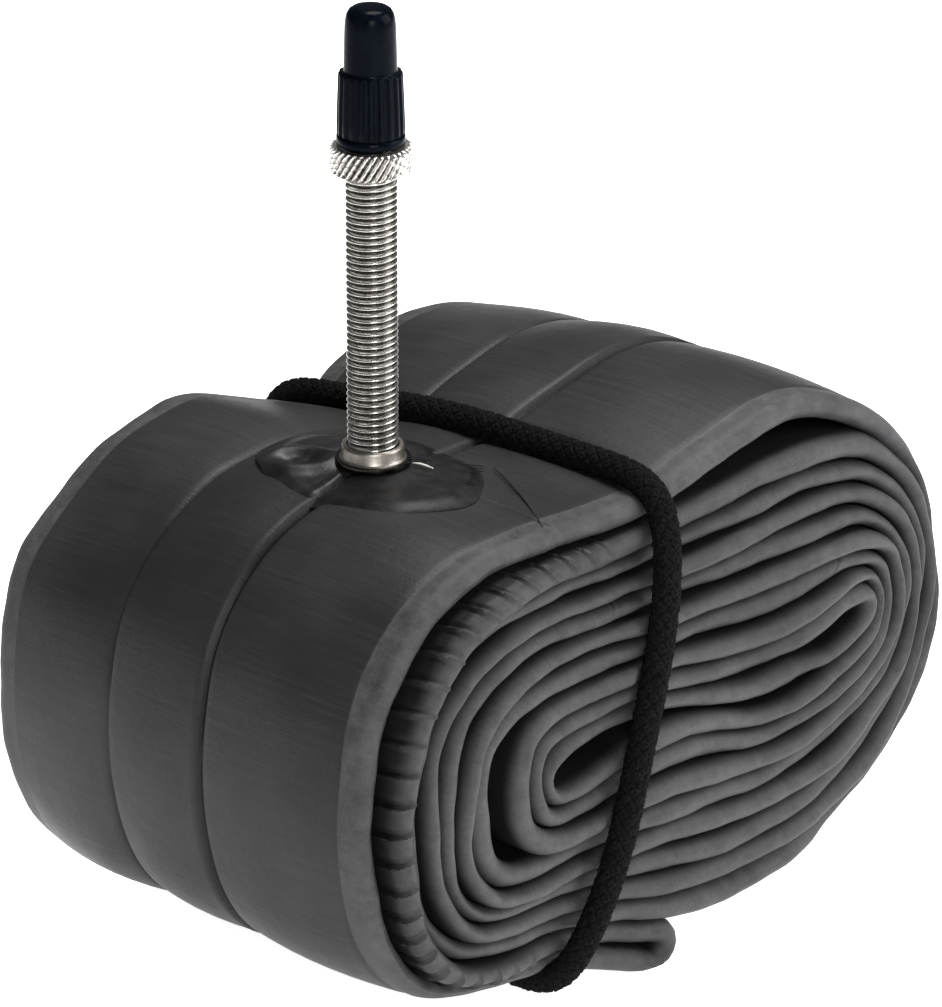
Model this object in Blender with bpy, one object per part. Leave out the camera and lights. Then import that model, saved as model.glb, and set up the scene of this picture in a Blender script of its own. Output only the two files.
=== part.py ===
"""A bicycle inner tube as it is sold: flattened, doubled in half, rolled up on itself and held by an
elastic cord loop. The valve stands up from the outermost layer.

The roll is first laid out in millimetres round the foot of the valve: X along the roll, Y across the
flattened tube, Z up the valve. Everything is then moved together so that the origin is under the
middle of the whole object, on the surface it stands on.
"""
import math

import bmesh
import bpy
from mathutils import Vector

MM = 0.001

# ---- the rolled tube -------------------------------------------------------------------------
FLAT_WIDTH = 62.0         # the tube's width when it lies flat
ROLL_LENGTH = 104.0       # across both lobes of the roll
ROLL_HEIGHT = 63.0        # from the folded end under the roll to the top of the left lobe
LAYER_GAP = 0.3           # between two layers that touch
LAYER_MAX = 3.1           # most a flattened layer fills, both of its walls together
FOLD_THICKNESS = 2.2      # one layer, where the tube folds over at the heart of the roll
FRONT_EDGE = -26.0        # where the outermost layer's front edge lies, in front of the valve
STANDING_FACE = -64.8     # the folded end is pressed flat at this height, where the roll stands
HEART_PROUD = 4.5         # how far the innermost layers stick out in front of the outermost one
INNER_STEP = 1.3          # how much further the inner strip of each pair sticks out
LEFT_STEP = 2.2           # and again, where it goes round the left lobe the first time
SAMPLES_PER_SPOKE = 2     # stations between two spokes of the layout
LEFT_BACK_DROP = 1.5      # how far the left lobe's top sags at the back edge
RIGHT_BACK_DROP = 4.2
WAIST_DROP = 1.2          # and how much further where the band pulls the roll in
WAIST_REACH = 9.0
WAIST_PINCH = 3.2         # how far the band draws the waist's back edge in
LEFT_TAPER = 1.4          # how far the left lobe's end draws in towards the back edge
SAG_FOOT = -32.0          # the sag fades out from the roll's top down to this height
SAG_FADE = 34.0
SMOOTHING_ROUNDS = 3
SMOOTHING_WEIGHTS = (0.5, -0.52)    # in, then out again, so that the roll keeps its size

# Spokes run clockwise from the folded end under the roll: outer x, z, then inner x, z. The layers are
# spaced along them. The folded end lies on the underside, the waist is where the band pulls it in.
OUTLINE_LENGTH = 104.0    # the length and height that the spokes below are drawn at
OUTLINE_HEIGHT = 63.0
LEFT_SPOKES = [
    (21.2, -66.4, 20.0, -28.9), (12.5, -66.8, 11.5, -31.8), (3.0, -53.4, 4.5, -32.9),
    (-9.0, -59.0, 1.5, -33.2), (-20.4, -55.0, 0.0, -33.0), (-27.6, -43.4, -0.7, -32.3),
    (-29.7, -29.0, -0.9, -31.0), (-27.4, -15.4, -0.6, -29.8), (-20.6, -6.2, 0.5, -28.8),
    (-11.0, -2.2, 2.5, -28.0), (0.0, -1.4, 6.0, -27.4), (10.0, -1.8, 10.5, -27.2),
]
RIGHT_SPOKES = [
    (19.5, -3.4, 16.0, -27.6), (30.0, 0.9, 26.0, -30.2), (40.0, 2.3, 34.0, -33.6),
    (50.5, 0.8, 42.0, -33.0), (61.0, -4.8, 51.0, -22.4), (68.8, -13.4, 55.4, -24.2),
    (72.8, -27.5, 56.8, -27.6), (71.0, -41.0, 54.8, -30.8), (63.5, -50.8, 50.0, -31.6),
    (52.0, -57.2, 42.0, -33.7), (41.0, -60.2, 34.0, -34.3), (31.0, -60.6, 26.0, -30.9),
]
# How the layers share a spoke, from the outside in. On the left the fourth pair gapes open.
SHARES_FOLD = [0.0, 0.248, 0.43, 0.615, 0.805, 1.0]
SHARES_BOTTOM = [0.0, 0.19, 0.39, 0.57, 0.78, 1.0]
SHARES_GAPE = [0.0, 0.205, 0.365, 0.52, 0.85, 1.0]
SHARES_TOP_LEFT = [0.0, 0.225, 0.40, 0.59, 0.80, 1.0]
SHARES_TOP_RIGHT = [0.0, 0.26, 0.43, 0.615, 0.81, 1.0]
SHARES_RIGHT = [0.0, 0.27, 0.52, 0.76, 1.0]
SHARES_BOTTOM_RIGHT = [0.0, 0.28, 0.55, 0.78, 1.0]
SPOKES_LEFT_SIDE = 12
SPOKES = 24
PAIR_END = 4 + 14.6 / SPOKES    # turns of the doubled tube, up to where its inner fold starts
FOLD_END = 4 + 20.3 / SPOKES    # the inner fold runs on round the right lobe's heart up to here

# ---- the valve, heights above its foot ----------------------------------------------------------
STEM_DIAMETER = 6.0
STEM_TOP = 44.0
STEM_BORE = 3.9
STEM_FOOT_REACH = 1.5     # how far the foot's flange stands out from the stem
STEM_FOOT_FLANGE = STEM_DIAMETER + 2 * STEM_FOOT_REACH
STEM_FOOT_THICKNESS = 0.5
SLIP = 0.25               # sideways clearance of what slides over the stem
TOUCH = 0.3               # gap between solids that touch
COLLAR_WALL = 0.45
COLLAR_DIAMETER = STEM_DIAMETER + 2 * (SLIP + COLLAR_WALL)
COLLAR_HEIGHT = 2.2
COLLAR_FLANGE_REACH = 0.5
COLLAR_FLANGE = COLLAR_DIAMETER + 2 * COLLAR_FLANGE_REACH
COLLAR_FLANGE_HEIGHT = 0.6
PATCH_LENGTH = 22.0       # along the tube
PATCH_WIDTH = 30.0        # across the tube
PATCH_THICKNESS = 0.6
PATCH_BOSS_REACH = 2.0    # how far the boss goes on past the stem's foot
PATCH_BOSS_DIAMETER = STEM_FOOT_FLANGE + 2 * PATCH_BOSS_REACH
PATCH_BOSS_HEIGHT = 1.1
NUT_WALL = 1.6
NUT_DIAMETER = STEM_DIAMETER + 2 * (SLIP + NUT_WALL)
NUT_THICKNESS = 3.1
NUT_BELOW_TOP = 7.9       # how far below the stem's top the nut has been run down
NUT_FOOT = STEM_TOP - NUT_BELOW_TOP
NUT_KNURLS = 36
KNURL_DEPTH = 0.25
PIN_DIAMETER = 1.3
PIN_CLEARANCE = 0.3       # all round the pin
PIN_ABOVE_HEAD = 6.0
PIN_BELOW_BODY = 3.6
PIN_FOOT_REACH = 0.55     # how far the pin's foot stands out to carry the cup
CORE_CLEARANCE = 0.25     # all round the core, inside the stem
CORE_DIAMETER = STEM_BORE - 2 * CORE_CLEARANCE
CORE_LENGTH = 14.0        # of the body that goes down into the stem
CORE_HEAD_REACH = 0.25    # how far the core's head and gasket cover the stem's end
CORE_HEAD_DIAMETER = STEM_BORE + 2 * CORE_HEAD_REACH
CORE_HEAD_HEIGHT = 1.6
CORE_BORE = PIN_DIAMETER + 2 * PIN_CLEARANCE
GASKET_THICKNESS = 0.5
LOCK_NUT_SETBACK = 0.1    # of its rim from the core head's
LOCK_NUT_DIAMETER = CORE_HEAD_DIAMETER - 2 * LOCK_NUT_SETBACK
LOCK_NUT_HEIGHT = 2.4
LOCK_NUT_KNURLS = 16
LOCK_KNURL_DEPTH = 0.18
SEAL_CLEARANCE = 0.35     # all round the seal, inside the stem
SEAL_DIAMETER = STEM_BORE - 2 * SEAL_CLEARANCE
SEAL_HEIGHT = 1.1
CUP_HEIGHT = 0.7
CUP_SETBACK = 0.1         # of its rim from the seal's
CAP_FOOT = NUT_FOOT + NUT_THICKNESS + TOUCH
CAP_SKIRT_WALL = 0.75
CAP_SKIRT_DIAMETER = STEM_DIAMETER + 2 * (SLIP + CAP_SKIRT_WALL)
CAP_SKIRT_HEIGHT = 8.6
CAP_WALL = 0.7
CAP_CLEARANCE = 0.25      # all round the core's head, inside the cap's narrow top
CAP_TOP_DIAMETER = CORE_HEAD_DIAMETER + 2 * (CAP_CLEARANCE + CAP_WALL)
CAP_HEIGHT = 16.3
CAP_RIBS = 20
CAP_RIB_DEPTH = 0.3
CAP_ROOF = 1.1            # thickness of the cap's top

# ---- the elastic cord loop -------------------------------------------------------------------------
BAND_DIAMETER = 3.5
BAND_TOP_FRONT = 19.5     # where along the roll it crosses each edge
BAND_TOP_BACK = 18.5
BAND_BOTTOM_BACK = 3.0
BAND_BOTTOM_FRONT = 3.0
BAND_CLEARANCE = 0.4
BAND_FACE_STEPS = 10
BAND_SIDE_STEPS = 8
BAND_CORNER_STEPS = 4
CLIP_LENGTH = 7.0
CLIP_WALL = 0.5

COLOURS = {
    "rubber": ((0.030, 0.030, 0.032), 0.62, 0.0),
    "moulded_rubber": ((0.018, 0.018, 0.019), 0.50, 0.0),
    "nickel": ((0.62, 0.60, 0.56), 0.25, 1.0),
    "brass": ((0.58, 0.46, 0.24), 0.30, 1.0),
    "cap_plastic": ((0.012, 0.013, 0.016), 0.28, 0.0),
    "seal_rubber": ((0.10, 0.02, 0.015), 0.55, 0.0),
    "elastic": ((0.008, 0.008, 0.009), 0.95, 0.0),
}


def clear_scene():
    for old in list(bpy.data.objects):
        bpy.data.objects.remove(old, do_unlink=True)


def material(name):
    made = bpy.data.materials.get(name)
    if made is None:
        made = bpy.data.materials.new(name)
        made.use_nodes = True
        shader = made.node_tree.nodes["Principled BSDF"]
        colour, roughness, metallic = COLOURS[name]
        shader.inputs["Base Color"].default_value = (*colour, 1.0)
        shader.inputs["Roughness"].default_value = roughness
        shader.inputs["Metallic"].default_value = metallic
    return made


def new_object(name, mesh, finish, parent=None):
    made = bpy.data.objects.new(name, mesh)
    bpy.context.collection.objects.link(made)
    mesh.materials.append(material(finish))
    mesh.shade_smooth()
    mesh.set_sharp_from_angle(angle=math.radians(35))
    if parent is not None:
        made.parent = parent
    return made


def frame_point(name, place, parent=None):
    empty = bpy.data.objects.new(name, None)
    empty.location = Vector(place) * MM
    bpy.context.collection.objects.link(empty)
    if parent is not None:
        empty.parent = parent
    return empty


# ---- layout of the roll -------------------------------------------------------------------------

def shares_of(spoke):
    if spoke >= SPOKES_LEFT_SIDE:
        right = spoke - SPOKES_LEFT_SIDE
        if right < 4:
            return SHARES_TOP_RIGHT
        return SHARES_RIGHT if right < 8 else SHARES_BOTTOM_RIGHT
    if spoke < 2:
        return SHARES_FOLD
    if spoke < 4:
        return SHARES_BOTTOM
    return SHARES_GAPE if spoke < 8 else SHARES_TOP_LEFT


def spiral_points():
    """Points of the line between one turn of the doubled tube and the next, outermost first."""
    wide = ROLL_LENGTH / OUTLINE_LENGTH
    high = ROLL_HEIGHT / OUTLINE_HEIGHT
    points = []
    for turn in range(6):
        for spoke, (ox, oz, ix, iz) in enumerate(LEFT_SPOKES + RIGHT_SPOKES):
            shares = shares_of(spoke)
            if turn >= len(shares):
                continue
            share = shares[turn]
            points.append(Vector((wide * (ox + (ix - ox) * share), high * (oz + (iz - oz) * share))))
    for _ in range(SMOOTHING_ROUNDS):
        for weight in SMOOTHING_WEIGHTS:
            middles = [(before + after) / 2 for before, after in zip(points, points[2:])]
            points[1:-1] = [p.lerp(m, weight) for p, m in zip(points[1:-1], middles)]
    return points


def on_spiral(points, turn):
    """The place on the spiral at a number of turns, on a smooth curve through its points."""
    place = turn * SPOKES
    first = min(max(int(math.floor(place)), 0), len(points) - 2)
    f = place - first
    p1, p2 = points[first], points[first + 1]
    p0 = points[first - 1] if first > 0 else p1 * 2 - p2
    p3 = points[first + 2] if first + 2 < len(points) else p2 * 2 - p1
    return 0.5 * (2 * p1 + (p2 - p0) * f + (2 * p0 - 5 * p1 + 4 * p2 - p3) * f * f
                  + (3 * p1 - p0 - 3 * p2 + p3) * f ** 3)


def ease(value, low, high):
    f = min(max((value - low) / (high - low), 0.0), 1.0)
    return f * f * (3 - 2 * f)


def proud(turn, inner_strip):
    """How far a layer's front edge sticks out in front of the outermost one's."""
    depth = turn / PAIR_END
    base = HEART_PROUD * (1 - (1 - depth) ** 1.6)
    if inner_strip:
        base += INNER_STEP * ease(turn, 0.0, 0.2) * (1 - ease(turn, 3.0, PAIR_END))
        base += LEFT_STEP * ease(turn, 0.05, 0.15) * (1 - ease(turn, 0.38, 0.5))
    return base


def strip_stations():
    """Every station round the closed ring of tube: middle, outward direction, thickness, proudness."""
    points = spiral_points()
    step = 1 / (SPOKES * SAMPLES_PER_SPOKE)
    outer, inner = [], []
    count = int(PAIR_END / step)
    for i in range(count + 1):
        turn = i * step
        near, far = on_spiral(points, turn), on_spiral(points, turn + 1)
        across = (far - near).normalized()
        half = (far - near).length / 2
        thick = min(half - LAYER_GAP, LAYER_MAX)
        inset = LAYER_GAP / 2 + thick / 2
        outer.append((near + across * inset, -across, thick, proud(turn, False)))
        inner.append((far - across * inset, across, thick, proud(turn, True)))
    heart = []
    turn = (count + 1) * step
    while turn < FOLD_END:
        here = on_spiral(points, turn)
        along = on_spiral(points, turn + step) - on_spiral(points, turn - step)
        out = Vector((-along.y, along.x)).normalized()
        blend = ease(turn, PAIR_END, PAIR_END + 3 / SPOKES)
        thick = outer[-1][2] * (1 - blend) + FOLD_THICKNESS * blend
        heart.append((here - out * (LAYER_GAP / 2 + thick / 2), out, thick, proud(PAIR_END, False)))
        turn += step
    # The outer end folds over its own edge: half a turn from the inner strip round to the outer one.
    first, last = outer[0], inner[0]
    middle = (first[0] + last[0]) / 2
    up = (last[0] - first[0]) / 2
    away = Vector((up.y, -up.x))
    tip = []
    for k in range(1, 6):
        a = math.pi * k / 6
        out = (up * math.cos(a) + away * math.sin(a)).normalized()
        tip.append((middle + up * math.cos(a) + away * math.sin(a), out, first[2], 0.0))
    return outer + heart + inner[::-1] + tip


def from_waist_at(x):
    """Distance from the waist along the roll, as a share of the waist's reach."""
    return (x - BAND_TOP_BACK * ROLL_LENGTH / OUTLINE_LENGTH) / WAIST_REACH


def waist_edge(x):
    """How far the back edge is drawn in at the roll's top, most at the waist."""
    return WAIST_PINCH * math.exp(-from_waist_at(x) ** 2)


def back_sag(x, y):
    """How far the roll's top has dropped at a place, most at the back edge of the waist."""
    from_waist = from_waist_at(x)
    drop = LEFT_BACK_DROP + (RIGHT_BACK_DROP - LEFT_BACK_DROP) * ease(from_waist, -1.5, 1.5)
    return (drop + WAIST_DROP * math.exp(-from_waist ** 2)) * ease(y, 0.0, FRONT_EDGE + FLAT_WIDTH)


def sag(x, y, z):
    """The roll's top drops a little towards the back edge, and its underside stands flat."""
    high = ROLL_HEIGHT / OUTLINE_HEIGHT
    top = min(max((z - SAG_FOOT * high) / (SAG_FADE * high), 0.0), 1.0)
    backness = ease(y, 0.0, FRONT_EDGE + FLAT_WIDTH)
    drawn_in = LEFT_TAPER * backness * ease(-x, 0.0, -LEFT_SPOKES[6][0])
    pinched = waist_edge(x) * backness * ease(top, 0.3, 0.9)
    return Vector((x + drawn_in, y - pinched, max(z - back_sag(x, y) * top, STANDING_FACE * high))) * MM


def strip_profile(thick, front):
    """Cross-section of the flattened tube: across, along Y. Rounded beads on both edges."""
    half = thick / 2
    back = front + FLAT_WIDTH
    bead = half
    return [
        (half * 0.45, front), (half, front + bead), (half, back - bead), (half * 0.45, back),
        (-half * 0.45, back), (-half, back - bead), (-half, front + bead), (-half * 0.45, front),
    ]


def build_tube(root):
    bm = bmesh.new()
    rings = []
    for middle, out, thick, ahead in strip_stations():
        ring = []
        for across, y in strip_profile(thick, FRONT_EDGE - ahead):
            spot = middle + out * across
            ring.append(bm.verts.new(sag(spot.x, y, spot.y)))
        rings.append(ring)
    for here, there in zip(rings, rings[1:] + rings[:1]):
        for k in range(len(here)):
            m = (k + 1) % len(here)
            bm.faces.new((here[k], here[m], there[m], there[k]))
    bmesh.ops.recalc_face_normals(bm, faces=bm.faces)
    mesh = bpy.data.meshes.new("tube")
    bm.to_mesh(mesh)
    bm.free()
    return new_object("tube", mesh, "rubber", root)


# ---- turned pieces of the valve ------------------------------------------------------------------

def turned(name, profile, finish, parent, segments=32, foot=0.0):
    """A ring or rod turned about the valve's axis. The profile is a closed loop of radius, height."""
    bm = bmesh.new()
    rings = []
    for s in range(segments):
        a = 2 * math.pi * s / segments
        rings.append([
            bm.verts.new(Vector((r * math.cos(a), r * math.sin(a), z - foot)) * MM) for r, z in profile
        ])
    for here, there in zip(rings, rings[1:] + rings[:1]):
        for k in range(len(profile)):
            m = (k + 1) % len(profile)
            bm.faces.new((here[k], here[m], there[m], there[k]))
    bmesh.ops.recalc_face_normals(bm, faces=bm.faces)
    mesh = bpy.data.meshes.new(name)
    bm.to_mesh(mesh)
    bm.free()
    return new_object(name, mesh, finish, parent)


def turned_solid(name, profile, finish, parent, segments=24, foot=0.0):
    """A solid turned piece: the profile is an open line of radius, height from bottom to top."""
    bm = bmesh.new()
    rings = []
    for r, z in profile:
        ring = []
        for s in range(segments):
            a = 2 * math.pi * s / segments
            ring.append(bm.verts.new(Vector((r * math.cos(a), r * math.sin(a), z - foot)) * MM))
        rings.append(ring)
    for here, there in zip(rings, rings[1:]):
        for k in range(segments):
            m = (k + 1) % segments
            bm.faces.new((here[k], here[m], there[m], there[k]))
    bm.faces.new(rings[0])
    bm.faces.new(rings[-1])
    bmesh.ops.recalc_face_normals(bm, faces=bm.faces)
    mesh = bpy.data.meshes.new(name)
    bm.to_mesh(mesh)
    bm.free()
    return new_object(name, mesh, finish, parent)


def fluted(name, rings_of, ribs, depth, finish, parent, foot=0.0):
    """A ring whose outside is fluted: outer and inner radius, height, share of the depth, twist."""
    bm = bmesh.new()
    segments = ribs * 2
    outers, inners = [], []
    for outer_r, inner_r, z, flute, twist in rings_of:
        outer_ring, inner_ring = [], []
        for s in range(segments):
            a = 2 * math.pi * s / segments + twist
            r = outer_r - (depth * flute if s % 2 else 0.0)
            outer_ring.append(bm.verts.new(Vector((r * math.cos(a), r * math.sin(a), z - foot)) * MM))
            inner_ring.append(bm.verts.new(
                Vector((inner_r * math.cos(a), inner_r * math.sin(a), z - foot)) * MM))
        outers.append(outer_ring)
        inners.append(inner_ring)
    for side in (outers, inners):
        for here, there in zip(side, side[1:]):
            for k in range(segments):
                m = (k + 1) % segments
                bm.faces.new((here[k], here[m], there[m], there[k]))
    for outer_ring, inner_ring in ((outers[0], inners[0]), (outers[-1], inners[-1])):
        for k in range(segments):
            m = (k + 1) % segments
            bm.faces.new((outer_ring[k], outer_ring[m], inner_ring[m], inner_ring[k]))
    bmesh.ops.recalc_face_normals(bm, faces=bm.faces)
    mesh = bpy.data.meshes.new(name)
    bm.to_mesh(mesh)
    bm.free()
    return new_object(name, mesh, finish, parent)


def tube_top(x):
    """Height of the outermost layer's upper face at a place along the roll, near the valve."""
    points = spiral_points()
    step = 1 / (SPOKES * SAMPLES_PER_SPOKE)
    for i in range(6 * SAMPLES_PER_SPOKE, 14 * SAMPLES_PER_SPOKE):
        a, b = on_spiral(points, i * step), on_spiral(points, (i + 1) * step)
        if a.x <= x <= b.x:
            return a.y + (b.y - a.y) * (x - a.x) / (b.x - a.x)
    raise ValueError("the place isn't on the roll's top near the valve")


def patch_outline(turn_about):
    """Oval outline of the rubber base, with its long axis across the tube."""
    return (PATCH_LENGTH / 2 * math.cos(turn_about), PATCH_WIDTH / 2 * math.sin(turn_about))


def build_patch(root):
    """The moulded base follows the tube's surface. A boss round the stem stands up from it."""
    hole = STEM_DIAMETER / 2 + TOUCH
    boss = PATCH_BOSS_DIAMETER / 2
    foot_r = STEM_FOOT_FLANGE / 2 + TOUCH
    foot_z = tube_top(0.0) + TOUCH + STEM_FOOT_THICKNESS + TOUCH
    segments = 40
    top_loops = [(hole, 0.0, PATCH_BOSS_HEIGHT), (boss * 0.62, 0.0, PATCH_BOSS_HEIGHT),
                 (boss, 0.12, PATCH_THICKNESS), (boss, 0.6, PATCH_THICKNESS), (boss, 1.0, 0.4)]
    bottom_loops = [(boss, 1.0, 0.0), (boss, 0.6, 0.0), (boss, 0.12, 0.0), (foot_r, 0.0, 0.0)]
    bm = bmesh.new()
    rings = []

    def ring(radius, outward, height, flat=None):
        verts = []
        for s in range(segments):
            a = 2 * math.pi * s / segments
            ox, oy = patch_outline(a)
            x = radius * math.cos(a) * (1 - outward) + ox * outward
            y = radius * math.sin(a) * (1 - outward) + oy * outward
            z = flat if flat is not None else sag(x, y, tube_top(x)).z / MM + TOUCH + height
            verts.append(bm.verts.new(Vector((x, y, z)) * MM))
        rings.append(verts)

    for radius, outward, height in top_loops:
        ring(radius, outward, height, tube_top(0.0) + TOUCH + height if outward == 0.0 else None)
    for radius, outward, height in bottom_loops:
        ring(radius, outward, height)
    ring(foot_r, 0.0, 0.0, foot_z)
    ring(hole, 0.0, 0.0, foot_z)
    for here, there in zip(rings, rings[1:] + rings[:1]):
        for k in range(segments):
            m = (k + 1) % segments
            bm.faces.new((here[k], here[m], there[m], there[k]))
    bmesh.ops.recalc_face_normals(bm, faces=bm.faces)
    mesh = bpy.data.meshes.new("valve_base_patch")
    bm.to_mesh(mesh)
    bm.free()
    return new_object("valve_base_patch", mesh, "moulded_rubber", root)


def build_valve(root):
    deck = tube_top(0.0) + TOUCH
    boss_top = deck + PATCH_BOSS_HEIGHT
    stem_r, bore_r = STEM_DIAMETER / 2, STEM_BORE / 2
    flange_r = STEM_FOOT_FLANGE / 2
    flange_top = deck + STEM_FOOT_THICKNESS
    turned("valve_stem", [
        (bore_r, deck), (flange_r, deck), (flange_r, flange_top), (stem_r, flange_top),
        (stem_r, STEM_TOP - 0.4), (stem_r - 0.4, STEM_TOP), (bore_r, STEM_TOP),
    ], "nickel", root)
    collar_foot = boss_top + TOUCH
    slip_r = stem_r + SLIP
    turned("base_collar", [
        (slip_r, collar_foot), (COLLAR_FLANGE / 2, collar_foot),
        (COLLAR_FLANGE / 2, collar_foot + COLLAR_FLANGE_HEIGHT),
        (COLLAR_DIAMETER / 2, collar_foot + COLLAR_FLANGE_HEIGHT + 0.2),
        (COLLAR_DIAMETER / 2, collar_foot + COLLAR_HEIGHT - 0.2),
        (COLLAR_DIAMETER / 2 - 0.2, collar_foot + COLLAR_HEIGHT), (slip_r, collar_foot + COLLAR_HEIGHT),
    ], "nickel", root)

    nut_frame = frame_point("rim_nut_axis", (0, 0, NUT_FOOT), root)
    nut_r = NUT_DIAMETER / 2
    lean = 2 * math.pi / NUT_KNURLS
    fluted("rim_nut", [
        (nut_r - 0.35, slip_r, NUT_FOOT, 0.0, 0.0),
        (nut_r, slip_r, NUT_FOOT + 0.35, 1.0, 0.0),
        (nut_r, slip_r, NUT_FOOT + NUT_THICKNESS - 0.35, 1.0, lean),
        (nut_r - 0.35, slip_r, NUT_FOOT + NUT_THICKNESS, 0.0, lean),
    ], NUT_KNURLS, KNURL_DEPTH, "nickel", nut_frame, NUT_FOOT)

    core_frame = frame_point("core_axis", (0, 0, STEM_TOP), root)
    head_foot = STEM_TOP + TOUCH + GASKET_THICKNESS + TOUCH
    head_top = head_foot + CORE_HEAD_HEIGHT
    body_foot = STEM_TOP - CORE_LENGTH
    core_r, pin_bore = CORE_DIAMETER / 2, CORE_BORE / 2
    turned("core_body", [
        (pin_bore, body_foot), (core_r - 0.2, body_foot), (core_r, body_foot + 0.3), (core_r, head_foot),
        (CORE_HEAD_DIAMETER / 2, head_foot), (CORE_HEAD_DIAMETER / 2, head_top), (pin_bore, head_top),
    ], "brass", core_frame, 24, STEM_TOP)
    turned("core_gasket", [
        (core_r + TOUCH / 2, STEM_TOP + TOUCH), (CORE_HEAD_DIAMETER / 2, STEM_TOP + TOUCH),
        (CORE_HEAD_DIAMETER / 2, STEM_TOP + TOUCH + GASKET_THICKNESS),
        (core_r + TOUCH / 2, STEM_TOP + TOUCH + GASKET_THICKNESS),
    ], "seal_rubber", core_frame, 24, STEM_TOP)

    lock_frame = frame_point("lock_nut_axis", (0, 0, head_top + TOUCH - STEM_TOP), core_frame)
    lock_foot = head_top + TOUCH
    lock_bore = PIN_DIAMETER / 2 + PIN_CLEARANCE
    lock_r = LOCK_NUT_DIAMETER / 2
    fluted("lock_nut", [
        (lock_r - 0.25, lock_bore, lock_foot, 0.0, 0.0),
        (lock_r, lock_bore, lock_foot + 0.3, 1.0, 0.0),
        (lock_r, lock_bore, lock_foot + LOCK_NUT_HEIGHT - 0.5, 1.0, 0.0),
        (lock_r - 0.5, lock_bore, lock_foot + LOCK_NUT_HEIGHT, 0.0, 0.0),
    ], LOCK_NUT_KNURLS, LOCK_KNURL_DEPTH, "brass", lock_frame, lock_foot)

    pin_frame = frame_point("valve_pin_axis", (0, 0, 0), core_frame)
    pin_top = head_top + PIN_ABOVE_HEAD
    seal_top = body_foot - TOUCH
    seal_foot = seal_top - SEAL_HEIGHT
    cup_top = seal_foot - TOUCH
    cup_foot = cup_top - CUP_HEIGHT
    pin_foot = body_foot - PIN_BELOW_BODY
    pin_r = PIN_DIAMETER / 2
    head_r = pin_r + PIN_FOOT_REACH
    turned_solid("valve_pin", [
        (head_r - 0.15, pin_foot), (head_r, pin_foot + 0.15), (head_r, cup_foot - TOUCH),
        (pin_r, cup_foot - TOUCH), (pin_r, pin_top - 0.4), (pin_r - 0.3, pin_top),
    ], "brass", pin_frame, 16, STEM_TOP)
    around_pin = pin_r + TOUCH / 2
    cup_r = SEAL_DIAMETER / 2 - CUP_SETBACK
    turned("pin_seal", [
        (around_pin, seal_foot), (SEAL_DIAMETER / 2, seal_foot),
        (SEAL_DIAMETER / 2 - 0.2, seal_top), (around_pin, seal_top),
    ], "seal_rubber", pin_frame, 20, STEM_TOP)
    turned("seal_cup", [
        (around_pin, cup_foot), (cup_r, cup_foot), (cup_r, cup_top), (around_pin, cup_top),
    ], "brass", pin_frame, 20, STEM_TOP)
    return core_frame


def build_cap(core_frame):
    """The cap's skirt goes over the stem's thread, and its narrower top clears the lock nut and the pin."""
    cap_frame = frame_point("dust_cap_axis", (0, 0, CAP_FOOT - STEM_TOP), core_frame)
    skirt_r, top_r = CAP_SKIRT_DIAMETER / 2, CAP_TOP_DIAMETER / 2
    bore_r = STEM_DIAMETER / 2 + SLIP
    upper_bore = top_r - CAP_WALL
    skirt_top = CAP_FOOT + CAP_SKIRT_HEIGHT
    cap_top = CAP_FOOT + CAP_HEIGHT
    step_in = STEM_TOP + TOUCH
    segments = CAP_RIBS * 2
    outside = [
        (skirt_r + 0.05, CAP_FOOT, 0), (skirt_r + 0.05, CAP_FOOT + 1.0, 0), (skirt_r, CAP_FOOT + 1.1, 1),
        (skirt_r - 0.2, skirt_top, 1), (top_r + 0.15, skirt_top + 0.05, 0), (top_r, cap_top - 1.2, 0),
        (top_r - 0.45, cap_top - 0.35, 0), (top_r * 0.5, cap_top - 0.05, 0),
    ]
    inside = [
        (bore_r, CAP_FOOT), (bore_r, step_in), (upper_bore, step_in + 0.5), (upper_bore, cap_top - CAP_ROOF - 0.8),
        (upper_bore * 0.5, cap_top - CAP_ROOF - 0.1),
    ]
    bm = bmesh.new()
    loops = []
    for radius, z, rib in outside:
        loop = []
        for s in range(segments):
            a = 2 * math.pi * s / segments
            r = radius - (CAP_RIB_DEPTH if rib and s % 2 else 0.0)
            loop.append(bm.verts.new(Vector((r * math.cos(a), r * math.sin(a), z - CAP_FOOT)) * MM))
        loops.append(loop)
    tip = bm.verts.new(Vector((0, 0, cap_top - CAP_FOOT)) * MM)
    inner_loops = []
    for radius, z in inside:
        loop = []
        for s in range(segments):
            a = 2 * math.pi * s / segments
            loop.append(bm.verts.new(
                Vector((radius * math.cos(a), radius * math.sin(a), z - CAP_FOOT)) * MM))
        inner_loops.append(loop)
    roof = bm.verts.new(Vector((0, 0, cap_top - CAP_ROOF - CAP_FOOT)) * MM)
    for chain, end in ((loops, tip), (inner_loops, roof)):
        for here, there in zip(chain, chain[1:]):
            for k in range(segments):
                m = (k + 1) % segments
                bm.faces.new((here[k], here[m], there[m], there[k]))
        for k in range(segments):
            bm.faces.new((chain[-1][k], chain[-1][(k + 1) % segments], end))
    for k in range(segments):
        m = (k + 1) % segments
        bm.faces.new((loops[0][k], loops[0][m], inner_loops[0][m], inner_loops[0][k]))
    bmesh.ops.recalc_face_normals(bm, faces=bm.faces)
    mesh = bpy.data.meshes.new("dust_cap")
    bm.to_mesh(mesh)
    bm.free()
    return new_object("dust_cap", mesh, "cap_plastic", cap_frame)


# ---- the elastic loop -------------------------------------------------------------------------------

def ahead_near(spot):
    """How far the layers' front edges stick out where the band passes."""
    reach = BAND_DIAMETER / 2 + LAYER_MAX
    return max([ahead for middle, _, _, ahead in strip_stations() if (middle - spot).length < reach]
               + [0.0])


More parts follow.
